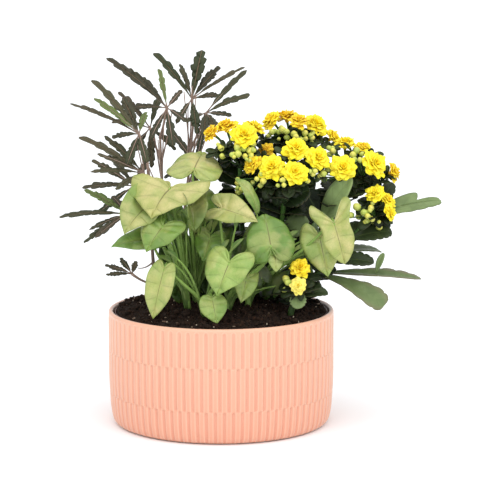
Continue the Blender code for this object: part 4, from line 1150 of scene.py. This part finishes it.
# Side veins of a half, and how fast its edge waves
VEIN_GAPS = 7
EDGE_WAVES = 13.0


def waves(pattern, half, draw):
    """How far a blade stands out from its plane: swollen between the veins, waved at the edge, twisted."""
    u, w, s, t = pattern.u, pattern.w, pattern.s, pattern.t
    puff = np.abs(np.sin(VEIN_GAPS * math.pi * s)) * np.sqrt(4 * t * (1 - t))
    swing = draw.uniform(0, 6, 2)
    edge = np.abs(u) ** 2.5 * np.sin(EDGE_WAVES * s + np.where(u > 0, swing[0], swing[1]))
    twist = draw.uniform(-0.10, 0.10) * u * w
    roll = np.sin(4.6 * u + swing[0]) * np.sin(6.0 * w + swing[1]) * np.abs(u)
    crease = np.exp(-(u / 0.08) ** 2)
    return half * (0.07 * puff + 0.11 * edge + twist + 0.09 * roll - 0.04 * crease)


def build_syngonium():
    """Short crowns with arrowhead leaves on long arching stalks."""
    patterns = {kind: Pattern(through(rows, 5), 7) for kind, rows in SYNGONIUM_OUTLINES.items()}
    young = Pattern(through(SYNGONIUM_OUTLINES["arrow"], 2), 2)
    spear = Pattern(through(SYNGONIUM_OUTLINES["strap"], 1), 1)
    leaf_paint = paint_syngonium()
    # The dark green foot colour of these stalks is painted shade where they crowd at the crowns.
    stalk_paint = paint_stalk("syngonium_stalk", (50, 72, 28), (136, 168, 82), (142, 166, 92), 0.4)
    draw = np.random.RandomState(31)
    for number, ((x, y, height), leaves, shaded, loose) in enumerate(SYNGONIUM, 1):
        start, rise = root(x, y)
        top = rise + vec(0, 0, height)
        blades = Pile()
        stalks = Pile()
        tube(stalks, through([start, rise, top], 6), (3.0, 2.8, 1.2), 12)
        for joint, tip, half, face, (droop, fold, cup), kind, curl, pale, tone in leaves:
            hinge = seen(*joint)
            point = seen(*tip)
            knee = vec(0.75, 0.6, 0.55) * hinge + vec(0.25 * x, 0.4 * y, 0.45 * top[2])
            along = unit(point - hinge)
            under = unit(np.array(face) - along * np.dot(along, face))
            over = hinge - 5.0 * along - 4.0 * under
            path = curve((rise + vec(0, 0, 2), top + vec(0, 0, 6), knee, over), 18)
            ends = [hinge - 0.6 * along - 0.9 * under, hinge + 2.0 * along - 0.3 * under]
            tube(stalks, np.concatenate([path, ends]), (2.3, 1.9, 1.5, 1.2, 0.9), 9, pale=tone)
            lift = waves(patterns[kind], half, draw)
            patterns[kind].leaf(blades, LEAF_THICK, hinge, point, face, half, droop, fold, cup=cup, wave=1.2,
                                lift=lift, curl=curl, tone=tone, pale=pale)
        # These small leaves take a brightness below zero: painted shade, a near black green filling the gaps
        # between the stalks.
        for joint, tip, half in shaded:
            hinge = seen(*joint)
            stalk(stalks, (rise, rise + vec(0, 0, 12), hinge), 8, (0.9, 0.7), 6)
            lift = 0.06 * half * np.sin(7.0 * young.s + draw.uniform(0, 6)) * young.u ** 2
            young.leaf(blades, LEAF_THICK, hinge, seen(*tip), FRONT_UP, half, 0.4, 0.2, cup=0.05, lift=lift,
                       tone=draw.uniform(-1.0, -0.4))
        for spot in loose:
            end = seen(*spot)
            foot = rise + 1.6 * unit(vec(draw.uniform(-1, 1), draw.uniform(-1, 1), 0))
            knee = foot + 0.55 * (end - foot) + vec(0, 0, 9) - 0.25 * (end - foot) * vec(1, 1, 0)
            stalk(stalks, (foot - vec(0, 0, 4), knee, end), 16, (1.5, 1.2, 1.0, 0.8), 8)
            along = unit(end - knee)
            tip = end + draw.uniform(11.0, 15.0) * along
            # Spears with brightness below zero take a little of the painted shade green.
            spear.leaf(blades, LEAF_THICK, end - 2.0 * along, tip, FRONT_UP, 3.4, 0.2, 0.8,
                       tone=draw.uniform(-0.3, 0.6))
        name = f"syngonium_stem_{number}"
        blades.make(name + "_leaves", leaf_paint, "syngonium_leaf", name)
        stalks.make(name + "_stalks", stalk_paint, "syngonium_leaf", name)


# Kalanchoe, for each stem: its foot and path; the leaves (joint, tip, half width, face, how pale, where low
# values are painted shade, how mauve and, where there is one more number, how far the leaf droops); the
# blooms (place, radius, face, how orange, where -1 is cream); the buds (place, radius); the steps of the
# trunk with a pair of small leaves; and the tufts of narrow leaves, painted nearly black as shade, that fill
# the gaps below the flowers
KALANCHOE = (
    (
        (22, 14), ((243, 250, 14), (241, 200, 14), (240, 166, 12)),
        (
            ((242, 208, 14), (216, 199, 6), 14, (-0.1, -0.8, 0.6), 0.05, 0),
            ((242, 208, 14), (268, 196, 20), 15, (0, -0.8, 0.6), 0.15, 0),
            ((243, 232, 14), (252, 236, -20), 13, (0, -0.8, 0.6), 0.1, 0),
            ((243, 240, 14), (216, 232, 30), 15.5, (0, -0.7, 0.7), 0.05, 0),
            ((241, 186, 14), (266, 173, 24), 13, (0, -0.7, 0.7), 0.1, 0),
            ((241, 186, 14), (214, 168, 24), 13.5, (0, -0.6, 0.8), 0.1, 0),
            ((243, 247, 14), (262, 256, 2), 13, (0, -0.85, 0.5), 0.1, 0),
        ),
        (
            (211, 133, 12, 8.7, (-0.75, -0.35, 0.55), 0.8), (226, 126, 20, 9.7, (-0.25, -0.25, 0.93), 0.7),
            (244, 135, 2, 11.8, (0, -0.8, 0.6), 0), (254, 127, 24, 9.2, (0.45, -0.1, 0.9), 0.3),
            (265, 151, 26, 7.6, (-0.45, -0.7, 0.55), 0.9),
        ),
        (
            (221, 148, 4, 3), (234, 155, -5, 3), (238, 154, -8, 3.4), (245, 156, -4, 2.6), (253, 144, 4, 3),
            (251, 155, 0, 2.8),
        ),
        (6, 8, 10, 12, 13, 15, 17, 19, 21),
        ((256, 144, 18), (262, 158, 14), (226, 146, 14), (250, 170, 8), (218, 152, 10)),
    ),
    (
        (44, 52), ((282, 250, 52), (290, 200, 50), (292, 152, 48)),
        (
            ((286, 225, 51), (254, 208, 56), 16, (0, -0.8, 0.6), 0.05, 0),
            ((286, 225, 51), (320, 210, 62), 16, (0, -0.7, 0.7), 0.1, 0),
            ((290, 195, 50), (266, 178, 72), 15, (0, -0.3, 0.9), 0.1, 0),
            ((290, 195, 50), (316, 182, 40), 15, (0, -0.75, 0.65), 0.1, 0),
            ((283, 250, 52), (286, 250, 92), 16.5, (0, 0.3, 0.95), 0.2, 0),
            ((283, 246, 52), (320, 238, 44), 16.5, (0, -0.8, 0.6), 0, 0),
            ((291, 180, 49), (324, 166, 64), 13, (0, -0.3, 0.95), 0.1, 0),
            ((283, 246, 52), (250, 234, 46), 16.5, (0, -0.8, 0.6), 0, 0),
        ),
        (
            (271, 120, 44, 9.5, (-0.6, -0.35, 0.7), 0.4), (286, 116, 58, 9.7, (-0.2, 0.1, 0.95), 0.7),
            (299, 121, 37, 9.1, (0.05, -0.45, 0.88), 0.7), (316, 124, 50, 11.4, (0.45, -0.45, 0.75), 0.1),
            (333, 137, 58, 8.5, (0.75, -0.2, 0.6), 0.3),
        ),
        (
            (272, 132, 34, 2.8), (283, 130, 32, 3.2), (294, 134, 30, 3.2), (305, 133, 34, 2.8),
            (312, 138, 38, 2.6),
        ),
        (6, 8, 10, 12, 14, 17, 19, 21),
        (
            (264, 140, 44), (284, 142, 44), (306, 144, 40), (322, 142, 50), (298, 134, 42), (276, 152, 42),
            (312, 132, 46),
        ),
    ),
    (
        (46, 6), ((277, 255, 4), (282, 220, 0), (284, 192, -4)),
        (
            ((279, 238, 3), (309, 221, -12), 12, (0.2, -0.75, 0.6), 0.5, 0),
            ((281, 225, 1), (258, 210, -2), 14, (0, -0.8, 0.6), 0, 0),
            ((281, 218, 1), (304, 204, 10), 15, (0, -0.8, 0.6), 0.05, 0),
            ((283, 204, -2), (310, 190, -10), 13, (0.1, -0.75, 0.65), 0.1, 0),
            ((279, 240, 3), (254, 252, -16), 14.5, (0, -0.85, 0.5), 0.1, 0),
            ((278, 250, 4), (308, 260, -10), 15, (0.1, -0.85, 0.5), 0.1, 0),
        ),
        (
            (252, 165, -4, 8.7, (-0.7, -0.55, 0.5), 0.6), (272, 167, -14, 11.6, (-0.15, -0.8, 0.55), 0),
            (295, 172, -20, 10.8, (0.15, -0.85, 0.5), 0), (296, 149, -2, 11.8, (0, -0.7, 0.7), 0),
            (318, 158, -5, 10.8, (0.35, -0.75, 0.55), 0),
        ),
        (
            (263, 181, -16, 3.2), (283, 180, -22, 2.6), (243, 189, -6, 3.4), (238, 183, -2, 2.6),
            (313, 174, -12, 2.6), (308, 181, -10, 2.4),
        ),
        (6, 8, 10, 12, 13, 15, 17, 19, 21),
        ((308, 168, -4), (284, 156, 4), (262, 178, 0), (322, 172, 4), (270, 190, -2)),
    ),
    (
        (72, 34), ((316, 250, 32), (334, 212, 28), (352, 186, 24)),
        (
            ((322, 228, 30), (352, 177, 2), 11.5, (-0.2, -0.8, 0.55), 0.98, 0),
            ((343, 199, 26), (374, 188, 20), 8, (0, -0.5, 0.85), 0.4, 0),
            ((318, 240, 32), (350, 226, 58), 15.5, (0, -0.5, 0.85), 0.1, 0),
            ((332, 214, 28), (352, 200, 62), 13, (0, 0.2, 0.95), 0.1, 0),
            ((318, 242, 32), (334, 264, 50), 15.5, (0, -0.7, 0.7), 0.1, 0),
            ((324, 226, 30), (304, 190, 24), 14, (0, -0.85, 0.5), 0.05, 0),
            ((343, 199, 26), (326, 180, 44), 12, (0, -0.4, 0.9), 0.1, 0),
        ),
        (
            (345, 143, 38, 9.5, (0, -0.2, 0.95), 0.2), (343, 168, 0, 12.2, (0, -0.85, 0.5), 0),
            (364, 149, 30, 9.5, (0.4, -0.3, 0.85), 0.5), (375, 164, 10, 12.2, (0.45, -0.7, 0.55), 0),
            (394, 172, 20, 8.3, (0.95, -0.1, 0.25), 0.6),
        ),
        ((333, 151, 24, 2.8), (353, 155, 16, 3.2), (360, 160, 10, 2.6), (321, 176, 2, 3.4)),
        (6, 8, 11, 13, 15, 18, 20),
        (
            (330, 150, 34), (352, 152, 30), (332, 170, 20), (360, 166, 20), (380, 182, 18), (372, 156, 24),
            (386, 176, 20),
        ),
    ),
    (
        (70, -2), ((318, 272, -4), (345, 246, 2), (371, 216, 10)),
        (
            ((352, 239, 1), (392, 232, 4), 11.5, (0.1, -0.6, 0.8), 0.24, 0),
            ((345, 249, 0), (360, 222, 20), 8, (0, -0.6, 0.8), 0.28, 0),
            ((370, 217, 10), (441, 201, 32), 11, (0, -0.62, 0.78), 0.66, 0),
            ((368, 220, 9), (393, 183, 36), 7.5, (0.3, -0.6, 0.7), 0.2, 0),
            ((323, 273, -3), (421, 279, -6), 10, (0, -0.22, 0.97), 0.56, 0.9, 0.15),
            ((325, 276, -4), (384, 306, -30), 11.5, (0.1, -0.66, 0.74), 0.6, 0.85),
            ((338, 254, -1), (381, 252, 26), 8.5, (0, -0.3, 0.95), 0.5, 0),
            ((330, 262, -3), (374, 263, -22), 9, (0, -0.6, 0.8), 0.2, 0),
        ),
        (
            (375, 193, 4, 8.7, (-0.2, -0.6, 0.75), 0), (388, 200, 9, 7.3, (0.55, -0.5, 0.65), 0.2),
            (390, 212, -2, 7.5, (0.85, -0.4, 0.3), 0.1),
        ),
        ((357, 207, 0, 3.6), (366, 213, -2, 3), (371, 208, 0, 2.8), (372, 219, -4, 2.8), (379, 227, 2, 3)),
        (6, 8, 10, 12), ((366, 206, 8), (378, 208, 8), (384, 216, 6)),
    ),
    (
        (62, -44), ((297, 300, -44), (299, 294, -45), (300, 288, -46)),
        (
            ((299, 291, -45), (297, 309, -58), 7.5, (0, -0.8, 0.6), 0.7, 0),
            ((299, 296, -45), (328, 293, -40), 7.5, (0, -0.5, 0.85), 0.3, 0),
        ),
        ((300, 268, -50, 9.3, (0, -0.7, 0.7), 0.35), (298, 286, -63, 7.2, (-0.1, -0.9, 0.4), -1)),
        ((286, 279, -52, 3.2),), (14,), (),
    ),
)

# The upright tooth of the long lowest leaf, and the tips of the two leaves with an outline of their own
UPRIGHT_STEM = 5
UPRIGHT_LEAF = ((376, 273, -8), (384, 253, -9), 3.4, (-0.4, -0.85, 0.3))
LOBED_TIP = (441, 201)
FANNED_TIP = (384, 306)

OVAL_LEAF = ((0.0, 1.0, 1.0), (0.34, 0.975, 0.86), (0.66, 0.90, 0.70), (0.90, 0.77, 0.54), (1.0, 0.62, 0.40),
             (0.94, 0.46, 0.26), (0.72, 0.29, 0.14), (0.42, 0.13, 0.05), (0.17, 0.0, 0.0))
LOBED_LEAF = ((0.0, 1.0, 1.0), (0.34, 0.965, 0.90), (0.42, 0.86, 0.80), (0.34, 0.74, 0.72),
              (0.30, 0.66, 0.66), (0.55, 0.69, 0.60), (0.98, 0.70, 0.52), (1.08, 0.60, 0.40),
              (0.90, 0.42, 0.26), (0.62, 0.24, 0.12), (0.40, 0.10, 0.04), (0.17, 0.0, 0.0))
FANNED_LEAF = ((0.0, 1.0, 1.0), (0.44, 1.0, 0.90), (0.80, 0.97, 0.80), (1.0, 0.86, 0.66), (0.90, 0.66, 0.48),
               (0.62, 0.44, 0.30), (0.42, 0.24, 0.14), (0.20, 0.0, 0.0))

# Teeth along an edge, the droop of a leaf that has none of its own, and how many small leaves stand together
SCALLOPS = 6
FLESHY_DROOP = 0.6
TUFT_LEAVES = 9
BRACTS = 6


def scalloped(rows, depth):
    """The same outline with rounded teeth."""
    rows = np.array(rows)
    share = np.linspace(0, 1, len(rows))
    notch = (1 - np.abs(np.sin(math.pi * SCALLOPS * share / 0.8))) ** 1.6 * (share < 0.8)
    rows[:, 0] *= 1.0 + 0.05 * (share < 0.8) - depth * notch
    return rows


# A petal from tip to base, and the short tube below it as (radius, height) in shares of the bloom's radius
PETAL = ((0.0, 1.0, 1.0), (0.30, 0.96, 0.86), (0.62, 0.86, 0.75), (0.90, 0.74, 0.61), (1.0, 0.58, 0.44),
         (0.88, 0.37, 0.27), (0.60, 0.15, 0.09), (0.40, 0.0, 0.0))
CALYX = ((0.0, -0.64), (0.16, -0.63), (0.21, -0.45), (0.20, -0.2), (0.26, 0.05), (0.0, 0.12))

# Petal layers of a bloom: count, reach, height of the tip, half width and cup, in shares of its radius
LAYERS = ((9, 1.26, -0.14, 0.38, -0.12), (9, 1.12, 0.06, 0.36, -0.04), (8, 0.92, 0.22, 0.34, 0.02),
          (7, 0.70, 0.34, 0.30, 0.08), (6, 0.46, 0.42, 0.24, 0.10), (4, 0.24, 0.46, 0.16, 0.10))


def build_bloom(number, pattern, paint, centre, axis, radius, deep):
    """A double bloom: a short tube, then layers of ruffled petals round a tight heart."""
    pile = Pile()
    side, other = across_of(axis)
    draw = np.random.RandomState(200 + number)
    calyx = [(r * radius, h * radius) for r, h in CALYX]
    lathe(pile, centre, axis, calyx, 10, tone=max(deep, 0.0), vein=0.7)
    u = pattern.u[:, None]
    w = pattern.w[:, None]
    for layer, (count, reach, height, wide, cup) in enumerate(LAYERS):
        turn = draw.uniform(0, 1)
        for k in range(count):
            angle = 2 * math.pi * (k + turn + draw.uniform(-0.16, 0.16)) / count
            out = math.cos(angle) * side + math.sin(angle) * other
            far = reach * draw.uniform(0.78, 1.02)
            high = height + draw.uniform(-0.12, 0.14)
            run = 0.08 * (1 - w) ** 2 + 2 * 0.46 * far * w * (1 - w) + far * w ** 2
            lift = -0.30 * (1 - w) ** 2 + 2 * (high + 0.20 - 0.05 * layer) * w * (1 - w) + high * w ** 2
            lift = lift + draw.uniform(-0.16, 0.16) * u + cup * u * u
            lift = lift + 0.06 * w * np.sin(5.5 * u + draw.uniform(0, 6))
            half = wide * draw.uniform(0.88, 1.1)
            points = centre + radius * (run * out + lift * axis + u * half * np.cross(axis, out))
            pattern.put(pile, points, PETAL_THICK, tone=min(max(deep + draw.uniform(-0.15, 0.15), 0), 1),
                        pale=0.85 if deep < 0 else draw.uniform(0, 0.14))
    name = f"kalanchoe_bloom_{number:02d}"
    pile.make(name + "_petals", paint, "kalanchoe_petal", name)


def build_kalanchoe():
    """Six leafy stems that branch into flower stalks with buds, and the blooms on them."""
    plain = through(OVAL_LEAF, 5)
    smooth_leaf = Pattern(plain, 4)
    cut_leaf = Pattern(scalloped(plain, 0.18), 4)
    small_leaf = Pattern(scalloped(through(OVAL_LEAF, 3), 0.18), 2)
    narrow_leaf = Pattern(through(OVAL_LEAF, 1), 1)
    special = {LOBED_TIP: Pattern(scalloped(plain, 0.10), 4, through(LOBED_LEAF, 4)),
               FANNED_TIP: Pattern(scalloped(through(FANNED_LEAF, 5), 0.12), 4)}
    petal = Pattern(through(PETAL, 2), 2)
    leaf_paint = paint_kalanchoe()
    stalk_paint = paint_stalk("kalanchoe_stalk", (34, 44, 22), (62, 100, 40), (88, 116, 56), 0.42)
    petal_paint = paint_petal()
    bud_paint = paint_bud()
    draw = np.random.RandomState(41)
    bloom_number = 0
    for number, (foot, path, leaves, blooms, buds, pairs, tufts) in enumerate(KALANCHOE, 1):
        way = [*root(*foot), *(seen(*p) for p in path)]
        hub = way[-1]
        blades = Pile()
        stalks = Pile()
        balls = Pile()
        trunk = through(way, 6)
        tube(stalks, trunk, (3.0, 2.8, 2.4, 2.1), 12)
        for joint, tip, half, face, pale, mauve, *own in leaves:
            pattern = special.get(tip[:2], smooth_leaf if pale > 0.7 else cut_leaf)
            lift = 0.06 * half * np.sin(8.0 * pattern.s + draw.uniform(0, 6)) * pattern.u ** 2
            droop = own[0] if own else FLESHY_DROOP
            pattern.leaf(blades, FLESHY_THICK, seen(*joint), seen(*tip), face, half, droop, 0.22, lift=lift,
                         tone=mauve if mauve else draw.uniform(0, 0.6), pale=pale)
        # The small leaves of the trunk get low pale values: painted shade, a near black green low in the
        # plant.
        turn = draw.uniform(0, math.pi)
        for step in pairs:
            turn += 0.5 * math.pi + draw.uniform(-0.2, 0.2)
            for angle in (turn, turn + math.pi):
                out = vec(math.cos(angle), math.sin(angle), 0)
                rise = vec(0, 0, draw.uniform(-0.1, 0.5))
                tip = trunk[step] + draw.uniform(21.0, 27.0) * unit(out + rise)
                lift = 0.08 * np.sin(8.0 * small_leaf.s + draw.uniform(0, 6)) * small_leaf.u ** 2
                small_leaf.leaf(blades, 1.0, trunk[step], tip, 0.35 * out + vec(0, -0.25, 1),
                                draw.uniform(8.5, 10.5), 0.8, 0.25, lift=lift, tone=draw.uniform(0, 0.5),
                                pale=draw.uniform(0.0, 0.16))
        if number == UPRIGHT_STEM:
            joint, tip, half, face = UPRIGHT_LEAF
            smooth_leaf.leaf(blades, 1.0, seen(*joint), seen(*tip), face, half, 0.5, 0.3, tone=0.3, pale=0.75)
        forks = []
        for place, (across, down, depth, radius, face, deep) in enumerate(blooms):
            bloom_number += 1
            centre = seen(across, down, depth)
            axis = unit(np.array(face))
            end = centre - axis * (0.62 * radius + 0.3)
            low = hub + (way[-2] - hub) * 0.3 * place / len(blooms)
            knee = end - axis * 6.0
            forks.append(low + 0.72 * (knee - low))
            stalk(stalks, (low, low + 0.6 * (knee - low), knee, end), 10, (1.5, 1.2, 1.0, 1.2), 8)
            build_bloom(bloom_number, petal, petal_paint, centre, axis, radius, deep)
        # Bracts at the forks get low pale values: painted shade under the blooms.
        knots = [(fork, 15.0) for fork in forks] + [(0.45 * hub + 0.55 * fork, 21.0) for fork in forks]
        for knot, long in knots:
            for _ in range(BRACTS):
                way_out = unit(vec(draw.uniform(-1, 1), draw.uniform(-0.8, 0.8), draw.uniform(-0.9, 0.4)))
                tip = knot + long * draw.uniform(0.6, 1.0) * way_out
                half = long * draw.uniform(0.18, 0.30)
                narrow_leaf.leaf(blades, NARROW_THICK, knot, tip, (0.0, -0.6, 0.8), half, 0.6, 0.3, tone=0.2,
                                 pale=draw.uniform(0.0, 0.25))
        # Tufts of narrow leaves with low pale values: painted shade, a near black green in the gaps below the
        # flowers.
        for spot in tufts:
            knot = seen(*spot)
            stalk(stalks, (hub, 0.5 * (hub + knot) - vec(0, 0, 2), knot), 6, (1.1, 0.9), 7)
            for _ in range(TUFT_LEAVES):
                way_out = unit(vec(draw.uniform(-1, 1), draw.uniform(-0.7, 0.7), draw.uniform(-0.8, 0.7)))
                tip = knot + draw.uniform(7.0, 13.0) * way_out
                narrow_leaf.leaf(blades, NARROW_THICK, knot, tip, FRONT_UP, draw.uniform(1.8, 3.2), 0.5, 0.3,
                                 tone=0.2, pale=draw.uniform(0.0, 0.35))
        for across, down, depth, radius in buds:
            centre = seen(across, down, depth)
            fork = min(forks, key=lambda spot: np.linalg.norm(spot - centre))
            axis = unit(centre - fork + vec(0, 0, 8))
            bud(balls, centre, axis, radius, draw.uniform(0.2, 1.0))
            stalk(stalks, (fork, 0.5 * (fork + centre) - axis, centre - axis * radius), 6, (0.9, 0.7), 6)
            for _ in range(3):
                shift = unit(draw.normal(size=3)) * radius * draw.uniform(1.8, 2.7)
                small = radius * draw.uniform(0.66, 0.95)
                beside = centre + shift - axis * 0.8 * radius
                bud(balls, beside, unit(axis + 0.1 * shift), small, draw.uniform(0.0, 0.6))
                stalk(stalks, (fork, 0.5 * (fork + beside) - axis, beside - axis * small), 6, (0.8, 0.6), 5)
        name = f"kalanchoe_stem_{number}"
        blades.make(name + "_leaves", leaf_paint, "kalanchoe_leaf", name)
        stalks.make(name + "_stalks", stalk_paint, "kalanchoe_leaf", name)
        balls.make(name + "_buds", bud_paint, "kalanchoe_petal", name)


# Stage, light and camera

def aim(thing, eye, target):
    thing.location = eye
    way = Vector(target) - Vector(eye)
    thing.rotation_euler = way.to_track_quat("-Z", "Y").to_euler()


def build_stage():
    """A plain pale floor, a pale sky and two soft suns."""
    mesh = bpy.data.meshes.new("floor")
    around = [2 * math.pi * k / FLOOR_SIDES for k in range(FLOOR_SIDES)]
    rim = [(FLOOR_RADIUS * math.cos(a), FLOOR_RADIUS * math.sin(a), FLOOR_LEVEL) for a in around]
    mesh.from_pydata(rim, [], [tuple(range(FLOOR_SIDES))])
    paint = bpy.data.materials.new("floor")
    paint.use_nodes = True
    paint.node_tree.nodes["Principled BSDF"].inputs["Base Color"].default_value = FLOOR_TINT
    paint.node_tree.nodes["Principled BSDF"].inputs["Roughness"].default_value = 0.9
    mesh.materials.append(paint)
    floor = link("floor", mesh)
    world = bpy.data.worlds.new("studio")
    world.use_nodes = True
    sky = world.node_tree.nodes["Background"]
    sky.inputs["Color"].default_value = SKY_TINT
    sky.inputs["Strength"].default_value = SKY_POWER
    bpy.context.scene.world = world
    for name, way, width, power in SUNS:
        light = bpy.data.lights.new(name, "SUN")
        light.angle = width
        light.energy = power
        aim(link(name, light), way, (0.0, 0.0, 0.0))


def build_camera():
    camera = link("camera", bpy.data.cameras.new("camera"))
    camera.data.lens = LENS
    camera.data.sensor_width = SENSOR
    aim(camera, EYE, TARGET)
    bpy.context.scene.camera = camera
    bpy.context.scene.view_settings.view_transform = "Standard"


build_pot()
build_liner()
build_soil()
build_aralia()
build_syngonium()
build_kalanchoe()
build_stage()
build_camera()

bpy.context.view_layer.update()
